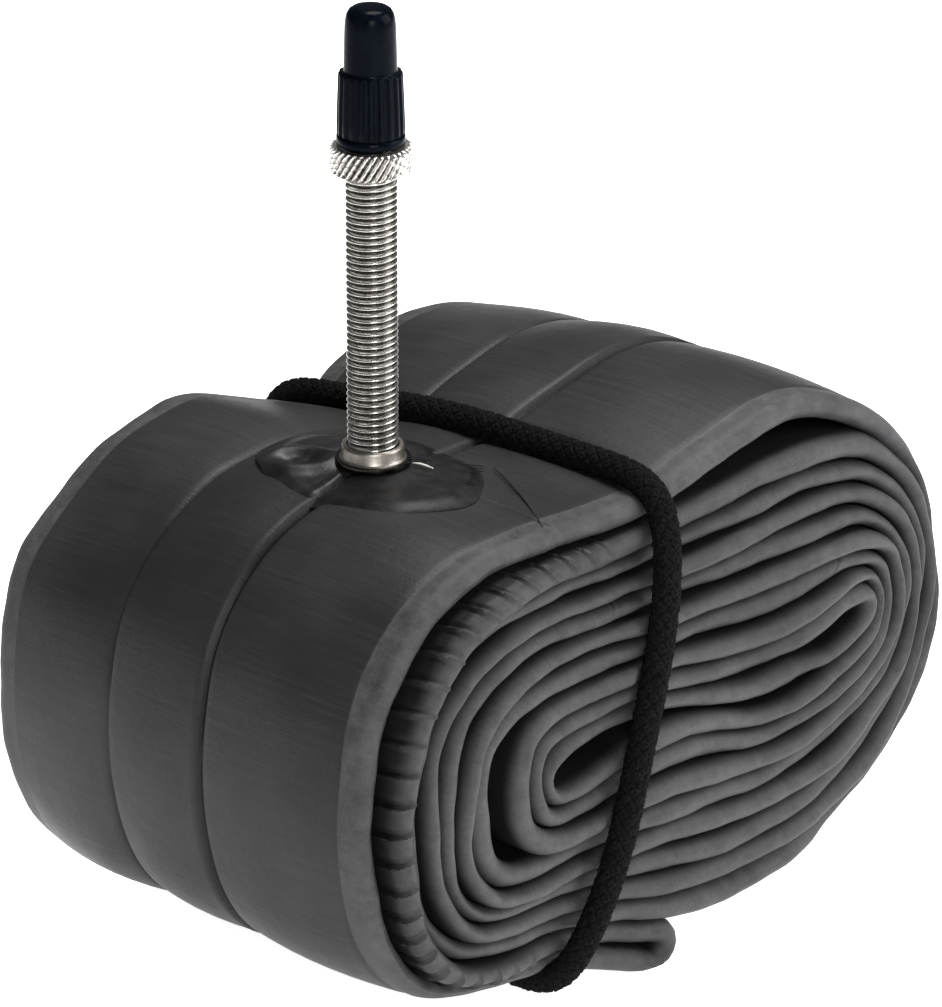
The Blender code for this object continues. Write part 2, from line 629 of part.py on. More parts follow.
def taut(heights):
    """A stretched cord bridges the hollows: the line that a taut string takes over these heights."""
    last = len(heights) - 1
    over = []
    for i, own in enumerate(heights):
        best = own
        for a in range(i):
            for b in range(i + 1, last + 1):
                best = max(best, heights[a] + (heights[b] - heights[a]) * (i - a) / (b - a))
        over.append(best)
    return over


def roll_top(x):
    """Height of the roll's upper side under the band, before it sags."""
    reach = BAND_DIAMETER / 2 + BAND_CLEARANCE
    return max((middle + out * thick / 2).y for middle, out, thick, _ in strip_stations()
               if abs(middle.x - x) < reach)


def roll_bottom(x):
    reach = BAND_DIAMETER / 2 + BAND_CLEARANCE
    return min((middle + out * thick / 2).y for middle, out, thick, _ in strip_stations()
               if abs(middle.x - x) < reach)


def band_corner(middle, start, end, lift):
    """Points of a quarter turn about an edge of the roll, from one direction to the next."""
    turns = [math.pi / 2 * k / BAND_CORNER_STEPS for k in range(1, BAND_CORNER_STEPS)]
    return [middle + (start * math.cos(a) + end * math.sin(a)) * lift for a in turns]


def band_path():
    """A closed loop round the roll's waist: down the front, under, up the back and over the top."""
    lift = BAND_DIAMETER / 2 + BAND_CLEARANCE
    wide = ROLL_LENGTH / OUTLINE_LENGTH
    top_front, top_back, bottom_back, bottom_front = [x * wide for x in (
        BAND_TOP_FRONT, BAND_TOP_BACK, BAND_BOTTOM_BACK, BAND_BOTTOM_FRONT)]
    back = FRONT_EDGE + FLAT_WIDTH
    forward, up = Vector((0, -1, 0)), Vector((0, 0, 1))

    high = Vector((top_front, roll_top(top_front)))
    low = Vector((bottom_front, roll_bottom(bottom_front)))
    face = [high.lerp(low, k / BAND_FACE_STEPS) for k in range(BAND_FACE_STEPS + 1)]
    bulges = taut([ahead_near(spot) for spot in face])
    edges = [Vector((spot.x, FRONT_EDGE - bulge, spot.y)) for spot, bulge in zip(face, bulges)]
    path = [edge + forward * lift for edge in edges]
    path += band_corner(edges[-1], forward, -up, lift)
    for k in range(BAND_SIDE_STEPS + 1):     # underneath
        f = k / BAND_SIDE_STEPS
        x = bottom_front + (bottom_back - bottom_front) * f
        y = edges[-1].y + (back - edges[-1].y) * f
        path.append(Vector((x, y, roll_bottom(x))) - up * lift)
    path += band_corner(path[-1] + up * lift, -up, -forward, lift)
    foot = Vector((bottom_back, back, roll_bottom(bottom_back)))
    head_y = back - waist_edge(top_back)
    head = Vector((top_back, head_y, roll_top(top_back) - back_sag(top_back, back)))
    path += [foot.lerp(head, k / BAND_SIDE_STEPS) - forward * lift for k in range(BAND_SIDE_STEPS + 1)]
    path += band_corner(head, -forward, up, lift)
    for k in range(BAND_SIDE_STEPS + 1):     # along the top, in the waist
        f = k / BAND_SIDE_STEPS
        x = top_back + (top_front - top_back) * f
        y = head_y + (edges[0].y - head_y) * f
        path.append(Vector((x, y, roll_top(x) - back_sag(x, y))) + up * lift)
    path += band_corner(path[-1] - up * lift, up, forward, lift)
    return path


def swept_ring(name, path, radius, finish, parent, sides=10):
    """A closed cord: a round section carried round a closed path without twist."""
    bm = bmesh.new()
    count = len(path)
    centre = sum(path, Vector()) / count
    rings = []
    for i, spot in enumerate(path):
        along = (path[(i + 1) % count] - path[i - 1]).normalized()
        out = spot - centre
        out = (out - along * out.dot(along)).normalized()
        side = along.cross(out)
        ring = []
        for s in range(sides):
            a = 2 * math.pi * s / sides
            ring.append(bm.verts.new((spot + (out * math.cos(a) + side * math.sin(a)) * radius) * MM))
        rings.append(ring)
    for here, there in zip(rings, rings[1:] + rings[:1]):
        for k in range(sides):
            m = (k + 1) % sides
            bm.faces.new((here[k], here[m], there[m], there[k]))
    bmesh.ops.recalc_face_normals(bm, faces=bm.faces)
    mesh = bpy.data.meshes.new(name)
    bm.to_mesh(mesh)
    bm.free()
    return new_object(name, mesh, finish, parent)


def build_band(root):
    swept_ring("elastic_band", band_path(), BAND_DIAMETER / 2, "elastic", root)


def build_clip(root):
    """A metal sleeve crimped over the cord's two ends, half way up the back."""
    path = band_path()
    corner = BAND_CORNER_STEPS - 1
    climb = BAND_FACE_STEPS + 1 + corner + BAND_SIDE_STEPS + 1 + corner + BAND_SIDE_STEPS // 2
    spot, ahead = path[climb], path[climb + 1]
    along = (ahead - path[climb - 1]).normalized()
    inner_r = BAND_DIAMETER / 2 + TOUCH
    outer_r = inner_r + CLIP_WALL
    sleeve = turned("band_clip", [
        (inner_r, -CLIP_LENGTH / 2), (outer_r, -CLIP_LENGTH / 2 + 0.3),
        (outer_r, CLIP_LENGTH / 2 - 0.3), (inner_r, CLIP_LENGTH / 2),
    ], "nickel", root, 20)
    sleeve.rotation_euler = along.to_track_quat("Z", "X").to_euler()
    sleeve.location = spot * MM


def stand_on_origin(root):
    """Moves everything so that the origin is under the middle of the whole object's box."""
    bpy.context.view_layer.update()
    corners = [ob.matrix_world @ v.co for ob in bpy.data.objects if ob.type == "MESH"
               for v in ob.data.vertices]
    low = Vector([min(c[i] for c in corners) for i in range(3)])
    high = Vector([max(c[i] for c in corners) for i in range(3)])
    root.location = Vector((-(low.x + high.x) / 2, -(low.y + high.y) / 2, -low.z))


def main():
    clear_scene()
    root = frame_point("valve_foot", (0, 0, 0))
    build_tube(root)
    build_patch(root)
    core_frame = build_valve(root)
    build_cap(core_frame)
    build_band(root)
    build_clip(root)
    stand_on_origin(root)


main()
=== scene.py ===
import math
import random

import bpy
import numpy as np
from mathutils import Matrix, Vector
from mathutils.kdtree import KDTree


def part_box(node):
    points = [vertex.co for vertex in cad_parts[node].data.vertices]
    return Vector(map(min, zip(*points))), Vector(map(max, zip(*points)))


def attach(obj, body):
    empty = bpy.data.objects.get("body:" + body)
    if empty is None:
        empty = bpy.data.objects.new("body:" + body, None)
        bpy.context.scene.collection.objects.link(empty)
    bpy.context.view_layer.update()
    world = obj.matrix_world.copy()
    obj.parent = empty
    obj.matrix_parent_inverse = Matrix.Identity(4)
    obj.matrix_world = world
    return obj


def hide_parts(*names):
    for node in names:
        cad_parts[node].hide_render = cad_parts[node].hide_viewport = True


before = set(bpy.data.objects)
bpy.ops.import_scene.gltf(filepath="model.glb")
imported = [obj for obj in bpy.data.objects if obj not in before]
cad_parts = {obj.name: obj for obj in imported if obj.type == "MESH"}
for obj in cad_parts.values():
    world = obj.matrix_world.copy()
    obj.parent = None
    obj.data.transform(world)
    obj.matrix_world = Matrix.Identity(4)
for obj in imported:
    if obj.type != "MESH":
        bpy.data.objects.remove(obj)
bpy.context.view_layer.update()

# ---- Where the valve stands -------------------------------------------------------------------
# The tube is laid out round the foot of its valve, in millimetres: x along the roll, y across the
# flat tube, z up the valve. The stem's own box says where that foot is.
MM = 0.001
STEM_TOP = 44.0
stem_low, stem_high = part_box("valve_stem")
valve_foot = np.array([
    (stem_low.x + stem_high.x) / 2, (stem_low.y + stem_high.y) / 2, stem_high.z - STEM_TOP * MM])


def in_frame(places):
    """Places in millimetres from the valve's foot, as metres in the frame."""
    return np.asarray(places, float) * MM + valve_foot


# ---- Camera, floor and soft light ---------------------------------------------------------------
# A long lens looks down at the roll's front left corner. The roll stands on a flat white floor, with
# a large soft light in front of the spiral, one overhead, and a small one off the front left corner.
VIEW_AZIMUTH = math.radians(-47)
VIEW_RISE = math.radians(23)
VIEW_DISTANCE = 0.75
LENS = 230.6
LOOKED_AT = (6.39, -9.62, -4.44)
FLOOR_SIZE = 6.0
FLOOR_DROP = 0.00005

backwards = Vector((
    math.sin(VIEW_AZIMUTH) * math.cos(VIEW_RISE), -math.cos(VIEW_AZIMUTH) * math.cos(VIEW_RISE),
    math.sin(VIEW_RISE)))
looked_at = Vector(in_frame(LOOKED_AT))
camera = bpy.data.objects.new("camera", bpy.data.cameras.new("camera"))
camera.data.lens = LENS
camera.data.sensor_width = 36.0
camera.data.clip_start = 0.02
camera.location = looked_at + backwards * VIEW_DISTANCE
camera.rotation_euler = backwards.to_track_quat("Z", "Y").to_euler()
bpy.context.collection.objects.link(camera)
bpy.context.scene.camera = camera
bpy.context.scene.view_settings.view_transform = "Standard"


def softbox(name, direction, distance, size, power):
    """A square area light that faces the roll from one direction."""
    lamp = bpy.data.lights.new(name, "AREA")
    lamp.shape = "SQUARE"
    lamp.size = size
    lamp.energy = power
    made = bpy.data.objects.new(name, lamp)
    towards = Vector(direction).normalized()
    made.location = looked_at + towards * distance
    made.rotation_euler = towards.to_track_quat("Z", "Y").to_euler()
    bpy.context.collection.objects.link(made)


softbox("spiral_light", (0.75, -0.9, 0.55), 0.7, 0.5, 5.5)
softbox("top_light", (0.3, 0.1, 1.0), 0.8, 0.4, 10.0)
softbox("corner_light", (-1.0, -1.3, 0.6), 0.9, 0.3, 5.5)

world = bpy.data.worlds.new("studio")
world.use_nodes = True
world.node_tree.nodes["Background"].inputs["Color"].default_value = (1.0, 1.0, 1.0, 1.0)
world.node_tree.nodes["Background"].inputs["Strength"].default_value = 0.14
bpy.context.scene.world = world


def add_node(tree, kind, settings=None, **inputs):
    """A shader node with its settings, its inputs given as values or as sockets to link from."""
    made = tree.nodes.new("ShaderNode" + kind)
    for name, value in (settings or {}).items():
        setattr(made, name, value)
    for name, value in inputs.items():
        socket = made.inputs[name.replace("_", " ")]
        if isinstance(value, bpy.types.NodeSocket):
            tree.links.new(value, socket)
        else:
            socket.default_value = value
    return made


def new_finish(name):
    """A new material and its principled shader."""
    made = bpy.data.materials.new(name)
    made.use_nodes = True
    return made, made.node_tree, made.node_tree.nodes["Principled BSDF"]


floor_finish, floor_tree, floor_shader = new_finish("white_paper")
floor_shader.inputs["Roughness"].default_value = 0.9
floor_shader.inputs["Specular IOR Level"].default_value = 0.1
floor_shader.inputs["Emission Color"].default_value = (1.0, 1.0, 1.0, 1.0)
floor_shader.inputs["Emission Strength"].default_value = 0.85
paper_mottle = add_node(floor_tree, "TexNoise", Scale=3.0)
paper_colour = add_node(floor_tree, "Mix", {"data_type": "RGBA"})
floor_tree.links.new(paper_mottle.outputs["Fac"], paper_colour.inputs["Factor"])
paper_colour.inputs[6].default_value = (0.92, 0.92, 0.92, 1.0)
paper_colour.inputs[7].default_value = (0.95, 0.95, 0.95, 1.0)
floor_tree.links.new(paper_colour.outputs[2], floor_shader.inputs["Base Color"])
floor_mesh = bpy.data.meshes.new("floor")
reach = FLOOR_SIZE / 2
floor_mesh.from_pydata(
    [(-reach, -reach, -FLOOR_DROP), (reach, -reach, -FLOOR_DROP), (reach, reach, -FLOOR_DROP),
     (-reach, reach, -FLOOR_DROP)], [], [(0, 1, 2, 3)])
floor_mesh.materials.append(floor_finish)
floor = bpy.data.objects.new("floor", floor_mesh)
bpy.context.collection.objects.link(floor)

# ---- The rolled tube ----------------------------------------------------------------------------
# One closed ring of butyl rubber tube, dusted with talc inside, pressed flat, doubled in half and
# rolled up from one folded end. Its other folded end is tucked under the roll and bears its weight.
FLAT_WIDTH = 62.0
FRONT_EDGE = -26.0        # the outermost layer's front edge, in front of the valve
LAYER_GAP = 0.14
LAYER_MAX = 3.3           # most a layer fills, both of its walls together
FOLD_THICKNESS = 2.4
TIP_REACH = 0.2           # how far the outer fold's loop runs on past a half circle, in its radii
STANDING_FACE = -64.8
HEART_PROUD = 4.5         # how far the innermost layers stick out in front of the outermost one
INNER_STEP = 1.3          # how much further the inner strip of each pair sticks out
LEFT_STEP = 2.4           # and again, where it goes round the left lobe the first time
LEFT_BACK_DROP = 1.5      # how far the left lobe's top sags at the back edge
RIGHT_BACK_DROP = 4.2
BACK_CORNER_DROP = 2.4    # how much further at the left lobe's back corner
BACK_FULLNESS = 1.6       # how much less behind the valve
WAIST_DROP = 1.2
WAIST_REACH = 9.0
WAIST_PINCH = 3.2         # how far the band draws the waist's back edge in
WAIST = 18.5              # where the band pulls the roll in, along the roll
BACK_CORNER, FULLEST = -21.0, 2.0       # where along the roll those two are most
BACK_REACH = 8.0          # how far along the roll each of them goes
SAG_FOOT = -32.0          # the sag fades out from the roll's top down to this height
SAG_FADE = 34.0
LEFT_TAPER = 1.4          # how far the left lobe's end draws in towards the back edge
LEFT_END = 29.7           # how far from the valve that end is
TURNS = 6                 # most turns of the line between one turn of the doubled tube and the next
TIP_STATIONS = 16         # round the outer end's fold
SMOOTHING_ROUNDS = 3
SMOOTHING_WEIGHTS = (0.5, -0.52)
# Spokes run clockwise from the folded end under the roll: outer x, z, then inner x, z.
LEFT_SPOKES = [
    (21.2, -66.4, 20.0, -28.9), (12.5, -66.8, 11.5, -30.9), (3.0, -53.4, 4.5, -31.9),
    (-9.0, -59.0, 1.5, -32.3), (-20.4, -55.0, 0.0, -32.1), (-27.6, -43.4, -0.7, -31.7),
    (-29.7, -29.0, -0.9, -31.0), (-27.4, -15.4, -0.6, -30.3), (-20.6, -6.2, 0.5, -29.7),
    (-11.0, -2.2, 2.5, -29.2), (0.0, -1.4, 6.0, -28.7), (10.0, -1.8, 10.5, -28.3),
]
RIGHT_SPOKES = [
    (19.5, -3.4, 16.0, -28.1), (30.0, 0.9, 26.0, -30.2), (40.0, 2.3, 34.0, -33.6),
    (50.5, 0.8, 42.0, -33.0), (61.0, -4.8, 51.0, -22.4), (68.8, -13.4, 55.4, -24.2),
    (72.8, -27.5, 56.8, -27.6), (71.0, -41.0, 54.8, -30.8), (63.5, -50.8, 50.0, -31.6),
    (52.0, -57.2, 42.0, -33.7), (41.0, -60.2, 34.0, -34.3), (31.0, -60.6, 26.0, -30.9),
]
# How the layers share a spoke, from the outside in. On the left the fourth pair gapes open.
SHARES_FOLD = [0.0, 0.248, 0.43, 0.615, 0.805, 1.0]
SHARES_BOTTOM = [0.0, 0.19, 0.39, 0.57, 0.78, 1.0]
SHARES_GAPE = [0.0, 0.205, 0.365, 0.52, 0.85, 1.0]
SHARES_TOP_LEFT = [0.0, 0.225, 0.40, 0.59, 0.80, 1.0]
SHARES_TOP_RIGHT = [0.0, 0.26, 0.43, 0.615, 0.81, 1.0]
SHARES_RIGHT = [0.0, 0.27, 0.52, 0.76, 1.0]
SHARES_BOTTOM_RIGHT = [0.0, 0.28, 0.55, 0.78, 1.0]
SHARES = (
    [SHARES_FOLD] * 2 + [SHARES_BOTTOM] * 2 + [SHARES_GAPE] * 4 + [SHARES_TOP_LEFT] * 4
    + [SHARES_TOP_RIGHT] * 4 + [SHARES_RIGHT] * 4 + [SHARES_BOTTOM_RIGHT] * 4)
SPOKES = 24
SAMPLES_PER_SPOKE = 12
PAIR_END = 4 + 14.6 / SPOKES    # turns of the doubled tube, up to where its inner fold starts
FOLD_END = 4 + 20.3 / SPOKES


def ease(value, low, high):
    """0 below low, 1 above high, and a smooth step between them."""
    f = np.clip((np.asarray(value, float) - low) / (high - low), 0.0, 1.0)
    return f * f * (3 - 2 * f)


def spiral_line():
    """Points of the line between one turn of the doubled tube and the next, outermost first."""
    points = []
    for turn in range(TURNS):
        for (ox, oz, ix, iz), shares in zip(LEFT_SPOKES + RIGHT_SPOKES, SHARES):
            if turn < len(shares):
                points.append((ox + (ix - ox) * shares[turn], oz + (iz - oz) * shares[turn]))
    points = np.array(points)
    for _ in range(SMOOTHING_ROUNDS):
        for weight in SMOOTHING_WEIGHTS:
            middles = (points[:-2] + points[2:]) / 2
            points[1:-1] += (middles - points[1:-1]) * weight
    return np.vstack([2 * points[0] - points[1], points, 2 * points[-1] - points[-2]])


spiral = spiral_line()


def on_spiral(turns):
    """Places on a smooth curve through the spiral's points, at these numbers of turns."""
    place = np.atleast_1d(turns) * SPOKES
    first = np.clip(np.floor(place).astype(int), 0, len(spiral) - 4)
    f = (place - first)[:, None]
    p0, p1, p2, p3 = (spiral[first + k] for k in range(4))
    return 0.5 * (2 * p1 + (p2 - p0) * f + (2 * p0 - 5 * p1 + 4 * p2 - p3) * f ** 2
                  + (3 * p1 - p0 - 3 * p2 + p3) * f ** 3)


def unit(rows):
    """Each row at length 1."""
    return rows / np.linalg.norm(rows, axis=-1, keepdims=True)


def proud(turns, inner_strip):
    """How far a layer's front edge sticks out in front of the outermost one's."""
    base = HEART_PROUD * (1 - np.maximum(1 - turns / PAIR_END, 0) ** 1.6)
    if inner_strip:
        base = base + INNER_STEP * ease(turns, 0.0, 0.2) * (1 - ease(turns, 3.0, PAIR_END))
        base = base + LEFT_STEP * ease(turns, 0.05, 0.15) * (1 - ease(turns, 0.38, 0.5))
    return base


def ring_of_tube():
    """Stations round the closed ring: middle x, z, outward x, z, thickness, proudness, turn, strip."""
    turns = np.arange(0, PAIR_END, 1 / (SPOKES * SAMPLES_PER_SPOKE))
    near, far = on_spiral(turns), on_spiral(turns + 1)
    across = unit(far - near)
    half = np.linalg.norm(far - near, axis=1) / 2
    thick = np.minimum(half - LAYER_GAP, LAYER_MAX)
    inset = (LAYER_GAP / 2 + thick / 2)[:, None]
    outer = np.column_stack([
        near + across * inset, -across, thick, proud(turns, False), turns, np.zeros(len(turns))])
    inner = np.column_stack([
        far - across * inset, across, thick, proud(turns, True), turns, np.ones(len(turns))])

    fold_turns = np.arange(turns[-1], FOLD_END, turns[1])[1:]
    here = on_spiral(fold_turns)
    along = on_spiral(fold_turns + turns[1]) - on_spiral(fold_turns - turns[1])
    out = unit(np.column_stack([-along[:, 1], along[:, 0]]))
    blend = ease(fold_turns, PAIR_END, PAIR_END + 3 / SPOKES)
    fold_thick = thick[-1] * (1 - blend) + FOLD_THICKNESS * blend
    heart = np.column_stack([
        here - out * (LAYER_GAP + fold_thick[:, None]) / 2, out, fold_thick,
        proud(np.full(len(here), PAIR_END), False), fold_turns, np.zeros(len(here))])

    # The outer end folds over its own edge: half a turn from the inner strip round to the outer one.
    first, last = outer[0, :2], inner[0, :2]
    middle, up = (first + last) / 2, (last - first) / 2
    away = np.array([up[1], -up[0]])
    around = np.linspace(0, math.pi, TIP_STATIONS + 2)[1:-1, None]
    spokes = up * np.cos(around) + away * np.sin(around)
    tip = np.column_stack([
        middle + spokes + away * TIP_REACH * np.sin(around) ** 1.5, unit(spokes),
        np.tile([thick[0], 0.0, 0.0, 2.0], (len(around), 1))])
    return np.vstack([outer, heart, inner[::-1], tip]), len(outer), len(outer) + len(heart)


ring, heart_start, inner_start = ring_of_tube()
steps = np.linalg.norm(np.diff(np.vstack([ring[:, :2], ring[:1, :2]]), axis=0), axis=1)
arc = np.concatenate([[0.0], np.cumsum(steps)])
TUBE_LENGTH = arc[-1]


def place_of(strip, turn):
    """How far round the ring of tube, in millimetres, the outer (0) or inner (1) strip makes a turn."""
    if strip == 0:
        return float(np.interp(turn, ring[:heart_start, 6], arc[:heart_start]))
    back = len(ring) - TIP_STATIONS
    return float(np.interp(turn, ring[inner_start:back, 6][::-1], arc[inner_start:back][::-1]))


# The second layer carries a run of moulded ribs, and here and there a mould line crosses a layer.
RIB_SPACING = 3.5
RIB_HEIGHT = 0.55
RIB_HALF_WIDTH = 0.22
RIBS_FROM, RIBS_TO = 0.10, 0.455         # turns
PLAIN_STEP, RIB_STEP, LINE_STEP = 0.9, 0.17, 0.14       # between stations, plain and where detail needs them
RIB_MARGIN, LINE_MARGIN = 2, 1.6
MOULD_LINES = [(0, 0.43), (1, 0.555), (1, 1.57), (0, 2.46), (0, 3.65), (1, 2.60), (0, 1.30), (1, 3.42)]
rib_zone = sorted((place_of(1, RIBS_FROM), place_of(1, RIBS_TO)))
rib_places = np.arange(rib_zone[0], rib_zone[1], RIB_SPACING)
line_places = np.array([place_of(strip, turn) for strip, turn in MOULD_LINES])
stations = np.unique(np.round(np.concatenate(
    [np.arange(0, TUBE_LENGTH - 0.5, PLAIN_STEP),
     np.arange(rib_zone[0] - RIB_MARGIN, rib_zone[1] + RIB_MARGIN, RIB_STEP)]
    + [place + np.arange(-LINE_MARGIN, LINE_MARGIN, LINE_STEP) for place in line_places]), 2))
closed = np.vstack([ring, ring[:1]])
at = np.column_stack([np.interp(stations, arc, closed[:, k]) for k in range(8)])
at[:, 2:4] = unit(at[:, 2:4])

# The tube's cross-section: offsets from its front edge along the faces, and angles round the folds.
NOSE_LENGTH = 2.1
SEAM, MOULD_LINE = 26.0, 41.6            # from the front edge: through the valve, and a fainter one
SWELLS = ((4.0, SEAM, 0.6), (SEAM, MOULD_LINE, 0.45), (MOULD_LINE, 60.0, 0.8))    # from, to, height
NOSE_BAND = 3.9                          # how wide the outermost layer's dusty edge is
OUTER_FACE = [
    2.1, 2.7, 3.3, 3.6, 3.9, 4.2, 4.8, 6, 8, 10.5, 13.5, 16.5, 19.5, 22.5, 24.4, 25.1, 25.4, 25.7,
    26, 26.3, 26.6, 26.9, 27.6, 29.5, 32.5, 35.5, 38, 40.2, 41.1, 41.35, 41.6, 41.85, 42.1,
    43, 45, 47.5, 50, 52.5, 55, 57, 58.6, 59.9]
INNER_FACE = [59.9, 57, 52, 45, 38, 31, 24, 17, 12, 9.5, 8, 6.8, 5.8, 5, 4.3, 3.7, 3.1, 2.6, 2.1]
front_fold = np.radians(np.linspace(-78, 78, 13))
back_fold = np.radians(np.linspace(78, -78, 9))
section = [("face", 1.0, y, 1.0, 0.0) for y in OUTER_FACE]
section += [("fold", math.sin(a), FLAT_WIDTH - NOSE_LENGTH * (1 - math.cos(a)), math.sin(a), math.cos(a))
            for a in back_fold]
section += [("face", -1.0, y, -1.0, 0.0) for y in INNER_FACE]
section += [("fold", math.sin(a), NOSE_LENGTH * (1 - math.cos(a)), math.sin(a), -math.cos(a))
            for a in front_fold]
side = np.array([s[1] for s in section])
offset = np.array([s[2] for s in section])
face_out = np.array([s[3] for s in section])
face_along = np.array([s[4] for s in section])


def waves(place, seed, lengths, sizes):
    """Slow waves along the tube, always the same for one seed."""
    dice = random.Random(seed)
    total = np.zeros(np.shape(place))
    for length, size in zip(lengths, sizes):
        total += size * np.sin(place * 2 * math.pi / length + dice.uniform(0, 6.28))
    return total


def waist_edge(x):
    """How far the back edge is drawn in at the roll's top, most at the waist."""
    return WAIST_PINCH * np.exp(-((x - WAIST) / WAIST_REACH) ** 2)


def back_sag(x, y):
    """How far the roll's top has dropped at a place, most at the back edge of the waist."""
    from_waist = (x - WAIST) / WAIST_REACH
    drop = LEFT_BACK_DROP + (RIGHT_BACK_DROP - LEFT_BACK_DROP) * ease(from_waist, -1.5, 1.5)
    drop = drop + BACK_CORNER_DROP * np.exp(-((x - BACK_CORNER) / BACK_REACH) ** 2)
    drop = drop - BACK_FULLNESS * np.exp(-((x - FULLEST) / BACK_REACH) ** 2)
    return (drop + WAIST_DROP * np.exp(-from_waist ** 2)) * ease(y, 0.0, FRONT_EDGE + FLAT_WIDTH)


def settled(x, y, z):
    """A place on the roll as it has settled: its top sags to the back, and its underside is flat."""
    top = np.clip((z - SAG_FOOT) / SAG_FADE, 0.0, 1.0)
    backness = ease(y, 0.0, FRONT_EDGE + FLAT_WIDTH)
    drawn_in = LEFT_TAPER * backness * ease(-x, 0.0, LEFT_END)
    pinched = waist_edge(x) * backness * ease(top, 0.3, 0.9)
    return np.stack([x + drawn_in, y - pinched, np.maximum(z - back_sag(x, y) * top, STANDING_FACE)], -1)


# The elastic band presses into the rubber, so its line is laid out first: it is taut over the
# layers' edges, and cuts the corners of the roll.
BAND_DIAMETER = 3.4
BAND_TOP_FRONT, BAND_TOP_BACK = 19.5, 18.5
BAND_BOTTOM_BACK, BAND_BOTTOM_FRONT = 3.0, 3.0
BAND_CLEARANCE = 0.4
BAND_SUNK = 1.1           # how far it has sunk into the rubber's edges
DENT_REACH = 9            # how far from the band's line the rubber gives way
DENT_FADE = (5, 8.5)      # beside the line, the valley fades out between these
DENT_SPREAD = 5.0
DENT_SOFTNESS = 0.36
BAND_FACE_STEPS, BAND_SIDE_STEPS, BAND_CORNER_STEPS = 10, 8, 4
lift = BAND_DIAMETER / 2 + BAND_CLEARANCE
BACK_EDGE = FRONT_EDGE + FLAT_WIDTH


def roll_height(x, top):
    """Height of the roll's upper or lower side under the band."""
    near = np.abs(ring[:, 0] - x) < lift
    heights = (ring[:, 1] + ring[:, 3] * ring[:, 4] / 2)[near]
    return heights.max() if top else heights.min()


def stretched_over(heights):
    """The line that a taut string takes over these heights."""
    over = []
    for i, own in enumerate(heights):
        best = own
        for a in range(i):
            for b in range(i + 1, len(heights)):
                best = max(best, heights[a] + (heights[b] - heights[a]) * (i - a) / (b - a))
        over.append(best)
    return over


def round_corner(middle, start, end):
    """A quarter turn about an edge of the roll, from one direction to the next."""
    turns = [math.pi / 2 * k / BAND_CORNER_STEPS for k in range(1, BAND_CORNER_STEPS)]
    return [middle + (start * math.cos(a) + end * math.sin(a)) * lift for a in turns]


def band_route():
    """A closed loop round the roll's waist: down the front, under, up the back and over the top."""
    forward, up = np.array([0.0, -1.0, 0.0]), np.array([0.0, 0.0, 1.0])
    high = np.array([BAND_TOP_FRONT, roll_height(BAND_TOP_FRONT, True)])
    low = np.array([BAND_BOTTOM_FRONT, roll_height(BAND_BOTTOM_FRONT, False)])
    face = [high + (low - high) * k / BAND_FACE_STEPS for k in range(BAND_FACE_STEPS + 1)]
    bulges = []
    for spot in face:
        near = np.linalg.norm(ring[:, :2] - spot, axis=1) < BAND_DIAMETER / 2 + 3.1
        bulges.append(max([0.0] + list(ring[near, 5])))
    edges = [np.array([spot[0], FRONT_EDGE - bulge, spot[1]])
             for spot, bulge in zip(face, stretched_over(bulges))]
    route = [edge + forward * lift for edge in edges]
    route += round_corner(edges[-1], forward, -up)
    for k in range(BAND_SIDE_STEPS + 1):
        f = k / BAND_SIDE_STEPS
        x = BAND_BOTTOM_FRONT + (BAND_BOTTOM_BACK - BAND_BOTTOM_FRONT) * f
        y = edges[-1][1] + (BACK_EDGE - edges[-1][1]) * f
        route.append(np.array([x, y, roll_height(x, False)]) - up * lift)
    route += round_corner(route[-1] + up * lift, -up, -forward)
    foot = np.array([BAND_BOTTOM_BACK, BACK_EDGE, roll_height(BAND_BOTTOM_BACK, False)])
    head_y = BACK_EDGE - waist_edge(BAND_TOP_BACK)
    head = np.array([BAND_TOP_BACK, head_y,
                     roll_height(BAND_TOP_BACK, True) - back_sag(BAND_TOP_BACK, BACK_EDGE)])
    route += [foot + (head - foot) * k / BAND_SIDE_STEPS - forward * lift
              for k in range(BAND_SIDE_STEPS + 1)]
    route += round_corner(head, -forward, up)
    for k in range(BAND_SIDE_STEPS + 1):
        f = k / BAND_SIDE_STEPS
        x = BAND_TOP_BACK + (BAND_TOP_FRONT - BAND_TOP_BACK) * f
        y = head_y + (edges[0][1] - head_y) * f
        route.append(np.array([x, y, roll_height(x, True) - back_sag(x, y)]) + up * lift)
    route += round_corner(route[-1] - up * lift, up, forward)
    return np.array(route)


def evenly(points, step):
    """A closed path through points, laid out again at even steps."""
    loop = np.vstack([points, points[:1]])
    run = np.concatenate([[0.0], np.cumsum(np.linalg.norm(np.diff(loop, axis=0), axis=1))])
    wanted = np.linspace(0, run[-1], int(run[-1] / step), endpoint=False)
    return np.column_stack([np.interp(wanted, run, loop[:, k]) for k in range(3)])


def slackened(points, reach):
    """Each point moved to the mean of those near it along a closed path."""
    return sum(np.roll(points, k, axis=0) for k in range(-reach, reach + 1)) / (2 * reach + 1)


band_line = slackened(slackened(evenly(band_route(), 0.35), 15), 11)
ahead = unit(np.roll(band_line, -1, axis=0) - np.roll(band_line, 1, axis=0))
outwards = band_line - band_line.mean(axis=0)
outwards = unit(outwards - ahead * np.sum(outwards * ahead, axis=1, keepdims=True))
band_line = band_line - outwards * BAND_SUNK
band_length = np.linalg.norm(np.roll(band_line, -1, axis=0) - band_line, axis=1).sum()
sideways = np.cross(ahead, outwards)


